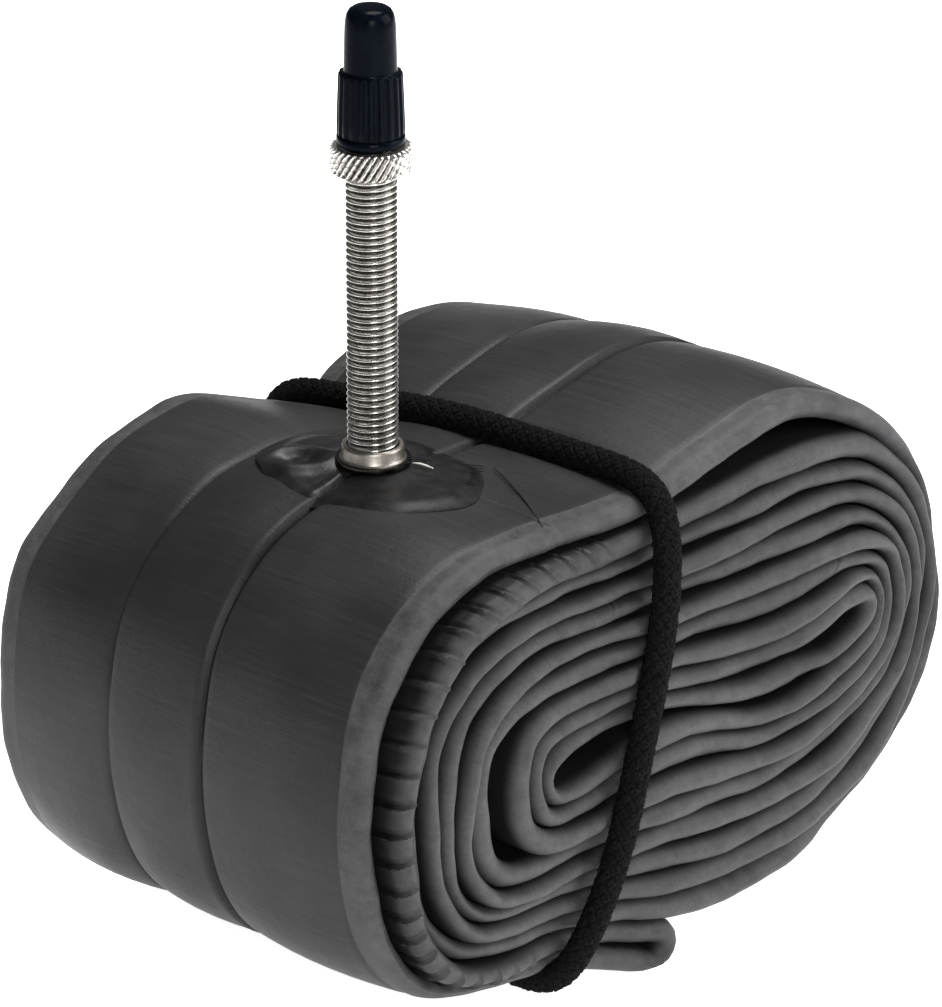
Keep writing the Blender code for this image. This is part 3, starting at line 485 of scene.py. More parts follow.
def dented(points):
    """Places on the rubber, pushed in to lie under the band in a soft valley."""
    flat = points.reshape(-1, 3).copy()
    tree = KDTree(len(band_line))
    for k, spot in enumerate(band_line):
        tree.insert(spot, k)
    tree.balance()
    low, high = band_line.min(axis=0) - DENT_REACH, band_line.max(axis=0) + DENT_REACH
    for k in np.nonzero(np.all((flat > low) & (flat < high), axis=1))[0]:
        spot, near, distance = tree.find(flat[k])
        if distance > DENT_REACH:
            continue
        gap = flat[k] - band_line[near]
        height = float(gap @ outwards[near])
        aside = math.sqrt(max(float(gap @ gap) - height ** 2, 0.0))
        over = height + BAND_DIAMETER / 2 - aside ** 2 / DENT_SPREAD
        depth = (over + math.sqrt(over ** 2 + DENT_SOFTNESS)) / 2
        flat[k] -= outwards[near] * depth * float(1 - ease(aside, *DENT_FADE))
    return flat.reshape(points.shape)


def bump(distance, half_width):
    """A smooth ridge, 1 on its crest."""
    return np.exp(-(distance / half_width) ** 2)


def tube_relief():
    """How far the rubber stands off its plain shape, for each station and point of the section."""
    place, turn, strip = stations[:, None], at[:, 6, None], at[:, 7, None]
    outside = (face_out > 0)[None, :]
    outermost = (1 - ease(turn, 0.95, 1.1)) * (strip < 0.5)
    relief = np.zeros((len(stations), len(section)))
    # Between the seams the outermost face swells a little, unevenly along the tube.
    swell = -0.16 * (1 - ease(offset, NOSE_BAND - 0.3, NOSE_BAND + 0.3))
    for low, high, size in SWELLS:
        f = np.clip((offset - low) / (high - low), 0, 1)
        swell += size * 4 * f * (1 - f)
    uneven = 1 + waves(place, 3, (47, 29, 17), (0.35, 0.2, 0.12))
    relief += outside * outermost * swell * uneven
    # The seam is a groove with a low lip; the other mould line is a scratch.
    wander = waves(place, 5, (60, 23, 9), (0.25, 0.1, 0.04))
    groove = 0.12 * bump(offset - SEAM - 1.0, 0.4) - 0.6 * bump(offset - SEAM, 0.5)
    groove = groove - 0.2 * bump(offset - MOULD_LINE, 0.26)
    relief += outside * groove * (1 + wander)
    # Ribs and mould lines cross the face and curl over the front fold.
    curl = 0.75 * (1 - face_out) * (face_along < 0)
    near_front = (1 - ease(offset, 8, 14)) * (face_along <= 0) * ease(face_out, -0.75, 0.2)
    under_front = (1 - ease(offset, 8, 14)) * (face_along <= 0) * ease(-face_out, -0.75, 0.2)
    lean = 0.10 * offset
    for rib in rib_places:
        strength = 0.75 + 0.25 * bump(rib - sum(rib_zone) / 2, (rib_zone[1] - rib_zone[0]) / 2.6)
        across_rib = place - rib - lean + 0.5 * (1 + face_out) * (face_along < 0)
        ridge = bump(across_rib, RIB_HALF_WIDTH) - 0.45 * bump(across_rib + 0.6, 0.35)
        relief += RIB_HEIGHT * strength * ridge * under_front
    for line in line_places:
        crossing = bump(place - line + 2.0 * curl, 0.2) - 0.5 * bump(place - line + 2.0 * curl - 0.42, 0.2)
        relief -= 0.16 * crossing * near_front
    # The folds aren't quite even.
    fold = np.abs(face_along)
    relief += fold * waves(place + 7 * strip, 11, (31, 13, 5.3), (0.16, 0.1, 0.04))
    return relief


def tube_surface():
    """The whole surface of the tube: rows of stations, columns round the section."""
    relief = tube_relief()
    half = at[:, 4, None] / 2
    reach = half * side * (0.9 + 0.1 * np.abs(side)) + relief * face_out
    shifted = waves(stations, 23, (71, 37, 19), (0.22, 0.2, 0.14)) * (0.5 + ease(at[:, 6], 0, 1.5))
    y = FRONT_EDGE - at[:, 5, None] + shifted[:, None] + offset + relief * face_along
    x = at[:, 0, None] + at[:, 2, None] * reach
    z = at[:, 1, None] + at[:, 3, None] * reach
    return settled(x, y, z)


def new_piece(name, places, faces):
    """A piece from places in millimetres and the faces between them."""
    mesh = bpy.data.meshes.new(name)
    mesh.from_pydata(in_frame(places).tolist(), [], faces)
    made = bpy.data.objects.new(name, mesh)
    bpy.context.collection.objects.link(made)
    return made


def grid_faces(rows, columns, wrap_rows):
    """The faces of a grid of places that closes round its columns."""
    row = np.arange(rows if wrap_rows else rows - 1)[:, None]
    column = np.arange(columns)[None, :]
    a, b = row * columns + column, row * columns + (column + 1) % columns
    c, d = (row + 1) % rows * columns + (column + 1) % columns, (row + 1) % rows * columns + column
    return np.stack([a, b, c, d], -1).reshape(-1, 4)


def grid_piece(name, points, wrap_rows=False, cap_ends=False):
    """A mesh piece from a grid of places in millimetres: rows along it, columns round it."""
    rows, columns = points.shape[:2]
    faces = grid_faces(rows, columns, wrap_rows).tolist()
    if cap_ends:
        faces.append(list(range(columns - 1, -1, -1)))
        faces.append(list(range((rows - 1) * columns, rows * columns)))
    made = new_piece(name, points.reshape(-1, 3), faces)
    made.data.shade_smooth()
    made.data.set_sharp_from_angle(angle=math.radians(50))
    return made


def paint_value(piece, name, values):
    """Keeps one number per vertex, for the piece's material to read."""
    layer = piece.data.attributes.new(name, "FLOAT", "POINT")
    layer.data.foreach_set("value", np.asarray(values, np.float32).ravel())


tube_points = dented(tube_surface())
tube = grid_piece("tube_rubber", tube_points, wrap_rows=True)
tube.data.flip_normals()
is_outermost = ((1 - ease(at[:, 6], 0.95, 1.1)) * (at[:, 7] < 0.5))[:, None]
paint_value(tube, "edge", np.broadcast_to(np.minimum(offset, FLAT_WIDTH - offset), tube_points.shape[:2]))
paint_value(tube, "outermost", np.broadcast_to(is_outermost, tube_points.shape[:2]))
paint_value(tube, "along", np.broadcast_to(stations[:, None], tube_points.shape[:2]))
# Mask for painted shade in the seam groove and along the mould line.
paint_value(tube, "groove", np.broadcast_to(
    (face_out > 0) * (bump(offset - SEAM, 0.5) + 0.5 * bump(offset - MOULD_LINE, 0.25)),
    tube_points.shape[:2]))

# Butyl rubber: near black and satin, greyed by talc and handling where it is folded.
RUBBER_DARK = (0.0165, 0.0165, 0.017, 1.0)
RUBBER_DUSTY = (0.060, 0.060, 0.062, 1.0)
# Painted shade colour for the seam groove and the mould line.
RUBBER_GROOVE_SHADE = (0.003, 0.003, 0.003, 1.0)


def mix_colours(tree, factor, first, second, blend="MIX"):
    """A colour mixed from two, each a value or a socket."""
    made = add_node(tree, "Mix", {"data_type": "RGBA", "blend_type": blend})
    for place, value in ((0, factor), (6, first), (7, second)):
        if isinstance(value, bpy.types.NodeSocket):
            tree.links.new(value, made.inputs[place])
        else:
            made.inputs[place].default_value = value
    return made.outputs[2]


def sum_of(tree, *terms):
    """A weighted sum of sockets, given as pairs of socket and weight."""
    total = None
    for socket, weight in terms:
        term = add_node(tree, "Math", {"operation": "MULTIPLY"})
        tree.links.new(socket, term.inputs[0])
        term.inputs[1].default_value = weight
        if total is None:
            total = term.outputs[0]
            continue
        plus = add_node(tree, "Math", {"operation": "ADD"})
        tree.links.new(total, plus.inputs[0])
        tree.links.new(term.outputs[0], plus.inputs[1])
        total = plus.outputs[0]
    return total


def noise_at(tree, place, scale, detail=3.0, roughness=0.55):
    """Noise, with its size given per millimetre."""
    return add_node(tree, "TexNoise", Vector=place, Scale=scale, Detail=detail,
                    Roughness=roughness).outputs["Fac"]


def millimetres(tree):
    """The piece's own coordinates in millimetres."""
    scaled = add_node(tree, "VectorMath", {"operation": "SCALE"},
                      Vector=add_node(tree, "TexCoord").outputs["Object"], Scale=1 / MM)
    return scaled.outputs[0]


def ramp(tree, factor, *stops):
    """A ramp of grey through stops of position and value."""
    made = add_node(tree, "ValToRGB", Fac=factor)
    ends = made.color_ramp.elements
    while len(ends) < len(stops):
        ends.new(0.5)
    for end, (position, value) in zip(ends, stops):
        end.position = position
        end.color = (value, value, value, 1.0)
    return made.outputs["Color"]


def give_relief(tree, shader, strength, *terms):
    """Fine bumps from a weighted sum of textures, their weights in millimetres."""
    bumped = add_node(tree, "Bump", Height=sum_of(tree, *terms), Strength=strength, Distance=MM)
    tree.links.new(bumped.outputs["Normal"], shader.inputs["Normal"])


def rubber_finish():
    """Satin butyl with fine grain, faint drag marks round the tube, talc on its folded edges, and painted
    shade between the inner layers and in the seam groove.
    """
    made, tree, shader = new_finish("butyl_rubber")
    place = millimetres(tree)
    edge, outermost, groove, along = (
        add_node(tree, "Attribute", {"attribute_name": name}).outputs["Fac"]
        for name in ("edge", "outermost", "groove", "along"))
    mottle = noise_at(tree, place, 0.45, 6.0, 0.65)
    grain = noise_at(tree, place, 3.2, 4.0, 0.6)
    cloud = noise_at(tree, place, 0.05, 2.0)
    across = add_node(tree, "SeparateXYZ", Vector=place).outputs["Y"]
    streak_place = add_node(tree, "CombineXYZ", X=sum_of(tree, (along, 1.9)), Y=sum_of(tree, (across, 0.07)))
    streaks = noise_at(tree, streak_place.outputs[0], 1.0, 3.0, 0.6)
    # Talc lies along the folds. On the outermost layer it ends in a clear line.
    wandering = sum_of(tree, (edge, 1.0), (mottle, 0.5))
    soft_edge = ramp(tree, sum_of(tree, (wandering, 0.2)), (0.08, 1.0), (0.42, 0.12))
    clear_edge = ramp(tree, sum_of(tree, (wandering, 0.2)), (NOSE_BAND * 0.2 + 0.03, 1.0),
                      (NOSE_BAND * 0.2 + 0.07, 0.0))
    folded = mix_colours(tree, outermost, soft_edge, clear_edge)
    patchy = ramp(tree, sum_of(tree, (mottle, 0.7), (grain, 0.3)), (0.34, 0.25), (0.66, 1.0))
    talc = mix_colours(tree, 1.0, folded, patchy, "MULTIPLY")
    smears = ramp(tree, sum_of(tree, (streaks, 0.55), (cloud, 0.45)), (0.45, 0.0), (0.72, 0.18))
    dusty = mix_colours(tree, 1.0, talc, smears, "ADD")
    colour = mix_colours(tree, dusty, RUBBER_DARK, RUBBER_DUSTY)
    colour = mix_colours(tree, 1.0, colour, ramp(tree, cloud, (0.3, 0.8), (0.7, 1.15)), "MULTIPLY")
    # Painted shade: between the inner layers, where little light gets in, the colour is darkened towards
    # black.
    painted_crevice_shade = ramp(tree, sum_of(tree, (edge, 0.2)), (0.1, 0.9), (0.45, 0.3))
    painted_crevice_shade = mix_colours(tree, outermost, painted_crevice_shade, (1.0, 1.0, 1.0, 1.0))
    colour = mix_colours(tree, 1.0, colour, painted_crevice_shade, "MULTIPLY")
    # Painted shade: the seam groove and the mould line are darkened towards black.
    colour = mix_colours(tree, groove, colour, RUBBER_GROOVE_SHADE)
    tree.links.new(colour, shader.inputs["Base Color"])
    rough = ramp(tree, sum_of(tree, (dusty, 0.6), (mottle, 0.4)), (0.1, 0.40), (0.85, 0.66))
    tree.links.new(rough, shader.inputs["Roughness"])
    shader.inputs["Specular IOR Level"].default_value = 0.13
    give_relief(tree, shader, 1.0, (grain, 0.030), (mottle, 0.06), (streaks, 0.03))
    return made


tube.data.materials.append(rubber_finish())
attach(tube, "rolled_tube")
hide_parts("tube")

# ---- The valve's rubber base --------------------------------------------------------------------
# A moulded leaf of rubber vulcanised onto the tube round the stem. The mould has left a dimpled
# blister beside the stem, a parting line, a few scratches and a thread of flash.
PATCH_HALF_LENGTH, PATCH_HALF_WIDTH = 11.0, 15.0
PATCH_THICKNESS = 0.5
BOSS_HEIGHT = 0.6
BLISTER = (-4.6, 7.9)
BLISTER_LONG, BLISTER_SHORT = 4.3, 2.5

top_rows = (at[:, 7] < 0.5) & (at[:, 6] > 6 / SPOKES) & (at[:, 6] < 15 / SPOKES)
top_x = at[top_rows, 0]
top_z = at[top_rows, 1] + at[top_rows, 3] * at[top_rows, 4] / 2
ordered = np.argsort(top_x)


def tube_top(x, y):
    """The outermost layer's plain upper face, with its swell between the seams."""
    z = np.interp(x, top_x[ordered], top_z[ordered])
    from_front = y - FRONT_EDGE
    swell = 0 * z
    for low, high, size in SWELLS:
        f = np.clip((from_front - low) / (high - low), 0, 1)
        swell = swell + size * 4 * f * (1 - f)
    return z + swell - back_sag(x, y)


def patch_surface():
    """Rings from the stem's hole out to the patch's edge, then down into the tube's surface."""
    around = np.linspace(0, 2 * math.pi, 120, endpoint=False)[None, :]
    share = np.linspace(0, 1, 46)[:, None] ** 0.9
    hole = 3.02
    wobble = 1 + 0.03 * np.sin(3 * around + 1) + 0.02 * np.sin(7 * around)
    edge_x = PATCH_HALF_LENGTH * np.cos(around) * wobble
    edge_y = PATCH_HALF_WIDTH * np.sin(around) * wobble
    x = hole * np.cos(around) * (1 - share) + edge_x * share
    y = hole * np.sin(around) * (1 - share) + edge_y * share
    from_stem = np.hypot(x, y)
    thickness = PATCH_THICKNESS * (1 - ease(share, 0.72, 1.0)) + 0.05
    height = thickness + BOSS_HEIGHT * (1 - ease(from_stem, 3.6, 7.6))
    bx, by = x - BLISTER[0], y - BLISTER[1]
    lean = math.atan2(4.6, -2.2)
    long_way = (bx * math.cos(lean) + by * math.sin(lean)) / BLISTER_LONG
    short_way = (-bx * math.sin(lean) + by * math.cos(lean)) / BLISTER_SHORT
    rho = np.hypot(long_way, short_way)
    lumps = 0.12 * np.sin(2.1 * x + 1.3 * y) * np.sin(1.7 * y - 0.9 * x)
    height = height + 0.75 * bump(rho - 1.0, 0.42) - (0.35 + lumps) * bump(rho, 0.62)
    height = height - 0.34 * bump(y, 0.38) * ease(-x, 3.2, 4.4)
    height = height + 0.10 * bump(y - 0.8, 0.4) * ease(-x, 3.2, 4.4)
    height = height - 0.28 * bump(y + 0.15 * np.sin(x), 0.22) * ease(x, 4.0, 6.0)
    z = tube_top(x, y) + height
    top = np.stack([x, y, z], -1)
    under = top.copy()
    under[..., 2] = tube_top(x, y) - 0.15
    return np.vstack([top, under[::-1][:1], under[:1]])


patch = grid_piece("valve_base_rubber", patch_surface(), wrap_rows=True)


def smooth_rubber_finish():
    """Moulded rubber, darker and glossier than the tube, with soft scuffs."""
    made, tree, shader = new_finish("moulded_base_rubber")
    place = millimetres(tree)
    mottle = noise_at(tree, place, 0.5, 5.0, 0.6)
    grain = noise_at(tree, place, 4.0, 3.0)
    colour = mix_colours(tree, ramp(tree, mottle, (0.35, 0.0), (0.75, 1.0)),
                         (0.005, 0.005, 0.0055, 1.0), (0.012, 0.012, 0.0125, 1.0))
    tree.links.new(colour, shader.inputs["Base Color"])
    rough = ramp(tree, mottle, (0.3, 0.3), (0.8, 0.46))
    tree.links.new(rough, shader.inputs["Roughness"])
    shader.inputs["Specular IOR Level"].default_value = 0.18
    give_relief(tree, shader, 0.8, (grain, 0.012), (mottle, 0.05))
    return made


base_finish = smooth_rubber_finish()
patch.data.materials.append(base_finish)
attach(patch, "rolled_tube")
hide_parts("valve_base_patch")


def thin_rod(path, radius, sides=6):
    """Rows of a thin rod that follows a path and tapers to both ends."""
    path = np.asarray(path, float)
    along = unit(np.gradient(path, axis=0))
    side_way = unit(np.cross(along, np.array([0.0, 0.0, 1.0]) + 0 * along))
    up = np.cross(side_way, along)
    around = np.linspace(0, 2 * math.pi, sides, endpoint=False)
    taper = np.sin(np.linspace(0.12, math.pi - 0.12, len(path))) ** 0.5
    spokes = (side_way[:, None] * np.cos(around)[None, :, None] + up[:, None] * np.sin(around)[None, :, None])
    return path[:, None] + spokes * (radius * taper)[:, None, None]


def lying_on_top(xs, ys, lift):
    """A path over the roll's top, at a height over the rubber."""
    return np.column_stack([xs, ys, tube_top(xs, ys) + lift])


flash_path = lying_on_top(
    np.linspace(11.3, 1.9, 40) + 0.5 * np.sin(np.linspace(0, 3, 40)), np.linspace(-8.6, -25.0, 40), 0.0)
flash_line = grid_piece("mould_flash", thin_rod(flash_path, 0.11), cap_ends=True)
scratches = []
for k in range(9):
    start_x, start_y = 4.6 + 0.72 * k, -12.6 + 0.55 * k
    reach = 2.4 + 1.2 * math.sin(1.9 * k)
    scratches.append(grid_piece(f"mould_scratch_{k + 1}", thin_rod(lying_on_top(
        np.linspace(start_x, start_x - 0.5 * reach, 9), np.linspace(start_y, start_y + reach, 9),
        0.42 - 0.02 * k), 0.07), cap_ends=True))
for line in [flash_line] + scratches:
    line.data.materials.append(base_finish)
    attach(line, "rolled_tube")

# ---- The valve stem -----------------------------------------------------------------------------
# A turned brass stem, nickel plated, with a right-hand thread cut all the way down to its base. It
# is bored out for the valve core, and its foot flange is moulded into the rubber.
STEM_RADIUS = 3.0
THREAD_PITCH = 0.8
THREAD_DEPTH = 0.42
THREAD_FOOT = 1.7
BORE_RADIUS = 1.95


def threaded(radius, pitch, depth, low, high, segments, per_pitch):
    """Rows of a screw thread: sharp-sided, with a narrow flat on its crests and round roots."""
    around = np.linspace(0, 2 * math.pi, segments, endpoint=False)[None, :]
    height = np.arange(low, high + 1e-6, pitch / per_pitch)[:, None]
    phase = (height / pitch - around / (2 * math.pi)) % 1.0
    from_crest = np.abs(phase - 0.5) * 2
    crest = 1 - ease(from_crest, 0.12, 0.86)
    fade = ease(height, low, low + 0.5 * pitch) * (1 - ease(height, high - 0.7 * pitch, high))
    r = radius - depth * (1 - crest * fade)
    return np.stack([r * np.cos(around), r * np.sin(around), height + 0 * around], -1), crest * fade


def turned_rows(profile, segments):
    """Rows of a turned shape from its profile of radius and height."""
    around = np.linspace(0, 2 * math.pi, segments, endpoint=False)
    rows = []
    for radius, height in profile:
        rows.append(np.column_stack([
            radius * np.cos(around), radius * np.sin(around), np.full(segments, height)]))
    return np.array(rows)


def turned_piece(name, profile, segments=64):
    """A closed turned ring: its profile is a loop of radius and height."""
    return grid_piece(name, turned_rows(profile, segments), wrap_rows=True)


thread_rows, crests = threaded(STEM_RADIUS, THREAD_PITCH, THREAD_DEPTH, THREAD_FOOT, STEM_TOP, 72, 10)
bore_rows = turned_rows([
    (STEM_RADIUS - 0.62, STEM_TOP), (BORE_RADIUS + 0.25, STEM_TOP), (BORE_RADIUS, STEM_TOP - 0.25),
    (BORE_RADIUS, STEM_TOP - 8), (BORE_RADIUS, 0.2), (STEM_RADIUS + 1.4, 0.2), (STEM_RADIUS + 1.5, 0.35),
    (STEM_RADIUS + 1.4, 0.8), (STEM_RADIUS - 0.1, 0.8)], 72)
stem = grid_piece("threaded_stem", np.vstack([thread_rows, bore_rows]), wrap_rows=True)
paint_value(stem, "crest", np.vstack([crests, np.zeros((len(bore_rows), 72))]))


def nickel_finish(name, bright, dull, grime, shine, reads_crest):
    """Nickel plate: bright where it is rubbed, dull and grimy in the hollows."""
    made, tree, shader = new_finish(name)
    place = millimetres(tree)
    stain = noise_at(tree, place, 0.9, 4.0, 0.6)
    fine = noise_at(tree, place, 7.0, 2.0)
    worn = ramp(tree, stain, (0.35, 0.0), (0.7, 1.0))
    colour = mix_colours(tree, worn, bright, dull)
    if reads_crest:
        crest = add_node(tree, "Attribute", {"attribute_name": "crest"}).outputs["Fac"]
        colour = mix_colours(tree, ramp(tree, crest, (0.05, 0.0), (0.55, 1.0)), grime, colour)
    tree.links.new(colour, shader.inputs["Base Color"])
    shader.inputs["Metallic"].default_value = 1.0
    rough = ramp(tree, sum_of(tree, (stain, 0.7), (fine, 0.3)), (0.3, shine), (0.75, shine + 0.22))
    tree.links.new(rough, shader.inputs["Roughness"])
    give_relief(tree, shader, 0.7, (fine, 0.008), (stain, 0.01))
    return made


NICKEL_BRIGHT = (0.60, 0.585, 0.56, 1.0)
NICKEL_DULL = (0.30, 0.285, 0.265, 1.0)
NICKEL_GRIME = (0.025, 0.022, 0.019, 1.0)
thread_finish = nickel_finish("nickel_thread", NICKEL_BRIGHT, NICKEL_DULL, NICKEL_GRIME, 0.16, True)
stem.data.materials.append(thread_finish)
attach(stem, "rolled_tube")
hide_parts("valve_stem")

# ---- The base collar ----------------------------------------------------------------------------
# A plain pressed ring over the foot of the stem, with a small flange that bears on the rubber. Its
# plating is dull and warm, and a burr of pale flash sticks out from under it.


def height_of(node):
    """A node's foot and top over the valve's foot, in millimetres."""
    low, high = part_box(node)
    return (low.z - valve_foot[2]) / MM, (high.z - valve_foot[2]) / MM


collar_low, collar_high = height_of("base_collar")
collar = turned_piece("stem_collar", [
    (3.08, collar_low), (4.0, collar_low - 0.25), (4.16, collar_low - 0.1), (4.2, collar_low + 0.2),
    (4.1, collar_low + 0.42), (3.82, collar_low + 0.55), (3.7, collar_low + 0.75),
    (3.66, collar_high - 0.35),
    (3.58, collar_high - 0.1), (3.42, collar_high), (3.12, collar_high - 0.05), (3.05, collar_high - 0.3)], 96)
collar.data.materials.append(nickel_finish(
    "dull_collar_plate", (0.30, 0.28, 0.25, 1.0), (0.16, 0.145, 0.125, 1.0), NICKEL_GRIME, 0.28, False))
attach(collar, "rolled_tube")
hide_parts("base_collar")

burr_path = [(2.6, -3.9, collar_low - 0.1), (3.1, -4.6, collar_low - 0.15), (3.5, -5.3, collar_low - 0.35),
             (3.9, -6.0, collar_low - 0.6)]
burr = grid_piece("flash_burr", thin_rod(burr_path, 0.13, 7), cap_ends=True)
burr_finish, burr_tree, burr_shader = new_finish("pale_flash")
burr_shade = noise_at(burr_tree, millimetres(burr_tree), 4.0)
burr_tree.links.new(mix_colours(burr_tree, burr_shade, (0.32, 0.31, 0.29, 1.0), (0.6, 0.58, 0.55, 1.0)),
                    burr_shader.inputs["Base Color"])
burr_shader.inputs["Roughness"].default_value = 0.6
burr.data.materials.append(burr_finish)
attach(burr, "rolled_tube")

# ---- The rim nut --------------------------------------------------------------------------------
# A round nut that runs up and down the stem. It is turned from brass, its rim is knurled on a slant
# so that fingers can turn it, and it is nickel plated.
NUT_FOOT, NUT_TOP = height_of("rim_nut")
NUT_HEIGHT = NUT_TOP - NUT_FOOT
NUT_RADIUS = 4.85
NUT_KNURLS = 34
KNURL_DEPTH = 0.42


def nut_rows():
    """The knurled rim, then over the top face and down the threaded bore."""
    around = np.linspace(0, 2 * math.pi, NUT_KNURLS * 10, endpoint=False)[None, :]
    height = np.linspace(0, NUT_HEIGHT, 25)[:, None]
    phase = (around * NUT_KNURLS / (2 * math.pi) - 0.72 * height) % 1.0
    ridge = 1 - ease(np.abs(phase - 0.5) * 2, 0.05, 0.95)
    cross_phase = (around * NUT_KNURLS / (2 * math.pi) * 0.5 + 0.9 * height) % 1.0
    nick = 0.10 * bump(np.abs(cross_phase - 0.5), 0.08)
    rounded = 0.42 * (1 - np.sqrt(np.clip(1 - ((np.abs(height / NUT_HEIGHT - 0.5) * 2 - 0.72)
                                               .clip(0) / 0.28) ** 2, 0, 1)))
    r = NUT_RADIUS - rounded - (KNURL_DEPTH * (1 - ridge) + nick) * (1 - 0.8 * (rounded > 0.3))
    rim = np.stack([r * np.cos(around), r * np.sin(around), NUT_FOOT + height + 0 * around], -1)
    bore = turned_rows([
        (4.0, NUT_TOP + 0.02), (3.45, NUT_TOP), (3.2, NUT_TOP - 0.3),
        (3.12, NUT_FOOT + NUT_HEIGHT / 2), (3.2, NUT_FOOT + 0.3), (3.45, NUT_FOOT), (4.0, NUT_FOOT)],
        NUT_KNURLS * 10)
    return np.vstack([rim, bore]), np.vstack([ridge - 2 * nick, np.full((len(bore), NUT_KNURLS * 10), 0.8)])


nut_points, nut_crests = nut_rows()
rim_nut = grid_piece("knurled_rim_nut", nut_points, wrap_rows=True)
paint_value(rim_nut, "crest", nut_crests)
rim_nut.data.materials.append(nickel_finish(
    "nickel_knurl", (0.74, 0.72, 0.69, 1.0), (0.50, 0.48, 0.45, 1.0), (0.06, 0.055, 0.05, 1.0), 0.2, True))
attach(rim_nut, "rim_nut")
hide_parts("rim_nut")

# ---- The valve core -----------------------------------------------------------------------------
# A brass body screwed into the stem's bore over a red gasket. A pin runs through it, with a rubber
# seal and a brass cup at its lower end and a small knurled lock nut on its thread at the top.
BRASS_BRIGHT = (0.66, 0.50, 0.24, 1.0)
BRASS_DULL = (0.42, 0.30, 0.13, 1.0)
BRASS_GRIME = (0.13, 0.09, 0.04, 1.0)
brass = nickel_finish("turned_brass", BRASS_BRIGHT, BRASS_DULL, BRASS_GRIME, 0.2, True)


core_low, core_high = height_of("core_body")
core_thread, core_crests = threaded(1.7, 0.5, 0.2, core_low + 6.0, core_high - 2.4, 48, 8)
core_rest = turned_rows([
    (1.7, core_high - 1.9), (1.95, core_high - 1.62), (2.2, core_high - 1.55), (2.2, core_high - 0.25),
    (2.05, core_high), (1.1, core_high), (0.95, core_high - 0.2), (0.95, core_low), (1.45, core_low),
    (1.6, core_low + 0.2), (1.6, core_low + 2.0), (1.42, core_low + 2.2), (1.42, core_low + 5.4)], 48)
core = grid_piece("valve_core_body", np.vstack([core_thread, core_rest]), wrap_rows=True)
paint_value(core, "crest", np.vstack([core_crests, np.full((len(core_rest), 48), 0.9)]))
core.data.materials.append(brass)
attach(core, "valve_core")
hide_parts("core_body")


def soft_rubber_finish(name, colour):
    """A small soft rubber moulding."""
    made, tree, shader = new_finish(name)
    speckle = noise_at(tree, millimetres(tree), 3.0, 4.0)
    tree.links.new(mix_colours(tree, speckle, colour, tuple(0.6 * c for c in colour[:3]) + (1.0,)),
                   shader.inputs["Base Color"])
    shader.inputs["Roughness"].default_value = 0.55
    give_relief(tree, shader, 0.8, (speckle, 0.02))
    return made


red_rubber = soft_rubber_finish("red_seal_rubber", (0.22, 0.025, 0.015, 1.0))


def rounded_washer(name, node, inner, outer, roundness):
    """A turned ring with rounded corners, between a node's foot and top."""
    low, high = height_of(node)
    profile = []
    far, near = outer - roundness, inner + roundness
    foot, head = low + roundness, high - roundness
    for cx, cz, start in ((far, foot, -90), (far, head, 0), (near, head, 90), (near, foot, 180)):
        for turn in (0, 30, 60, 90):
            a = math.radians(start + turn)
            profile.append((cx + roundness * math.cos(a), cz + roundness * math.sin(a)))
    return turned_piece(name, profile, 48)


gasket = rounded_washer("core_gasket_ring", "core_gasket", 1.86, 2.24, 0.16)
gasket.data.materials.append(red_rubber)
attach(gasket, "valve_core")
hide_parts("core_gasket")

pin_low, pin_high = height_of("valve_pin")
pin_thread, pin_crests = threaded(0.65, 0.35, 0.13, core_high + 0.2, pin_high - 0.5, 28, 6)
pin_foot = turned_rows([(0.02, pin_low), (1.05, pin_low), (1.2, pin_low + 0.15), (1.2, pin_low + 0.8),
                        (0.65, pin_low + 0.9), (0.65, core_low + 4), (0.6, core_high)], 28)
pin_tip = turned_rows([(0.5, pin_high - 0.35), (0.4, pin_high - 0.1), (0.3, pin_high), (0.02, pin_high)], 28)
pin = grid_piece("valve_pin_rod", np.vstack([pin_foot, pin_thread, pin_tip]), cap_ends=True)
paint_value(pin, "crest", np.vstack([
    np.full((len(pin_foot), 28), 0.9), pin_crests, np.full((len(pin_tip), 28), 0.9)]))
pin.data.materials.append(brass)
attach(pin, "valve_pin")
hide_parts("valve_pin")

seal = rounded_washer("pin_seal_ring", "pin_seal", 0.76, 1.6, 0.3)
seal.data.materials.append(red_rubber)
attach(seal, "valve_pin")
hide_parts("pin_seal")
cup = rounded_washer("seal_cup_washer", "seal_cup", 0.8, 1.5, 0.12)
paint_value(cup, "crest", np.full(len(cup.data.vertices), 0.9))
cup.data.materials.append(brass)
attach(cup, "valve_pin")
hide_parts("seal_cup")

lock_low, lock_high = height_of("lock_nut")
LOCK_KNURLS = 16
lock_turns = np.linspace(0, 2 * math.pi, LOCK_KNURLS * 10, endpoint=False)[None, :]
lock_ridge = 1 - ease(np.abs((lock_turns * LOCK_KNURLS / (2 * math.pi)) % 1.0 - 0.5) * 2, 0.3, 0.8)
lock_heights = np.array([0.0, 0.15, 0.3, 0.9, 1.5, 1.9, 2.1, 2.3, 2.4])[:, None]
lock_radii = np.array([1.85, 2.0, 2.1, 2.1, 2.1, 2.1, 1.98, 1.75, 1.6])[:, None]
lock_cut = np.array([0.1, 0.6, 1.0, 1.0, 1.0, 1.0, 0.7, 0.2, 0.0])[:, None]
lock_r = lock_radii - 0.2 * (1 - lock_ridge) * lock_cut
lock_rim = np.stack([lock_r * np.cos(lock_turns), lock_r * np.sin(lock_turns),
                     lock_low + lock_heights + 0 * lock_turns], -1)
lock_bore = turned_rows([(1.15, lock_high), (0.95, lock_high - 0.2), (0.95, lock_low + 0.2),
                         (1.15, lock_low)], LOCK_KNURLS * 10)
lock_nut = grid_piece("pin_lock_nut", np.vstack([lock_rim, lock_bore]), wrap_rows=True)
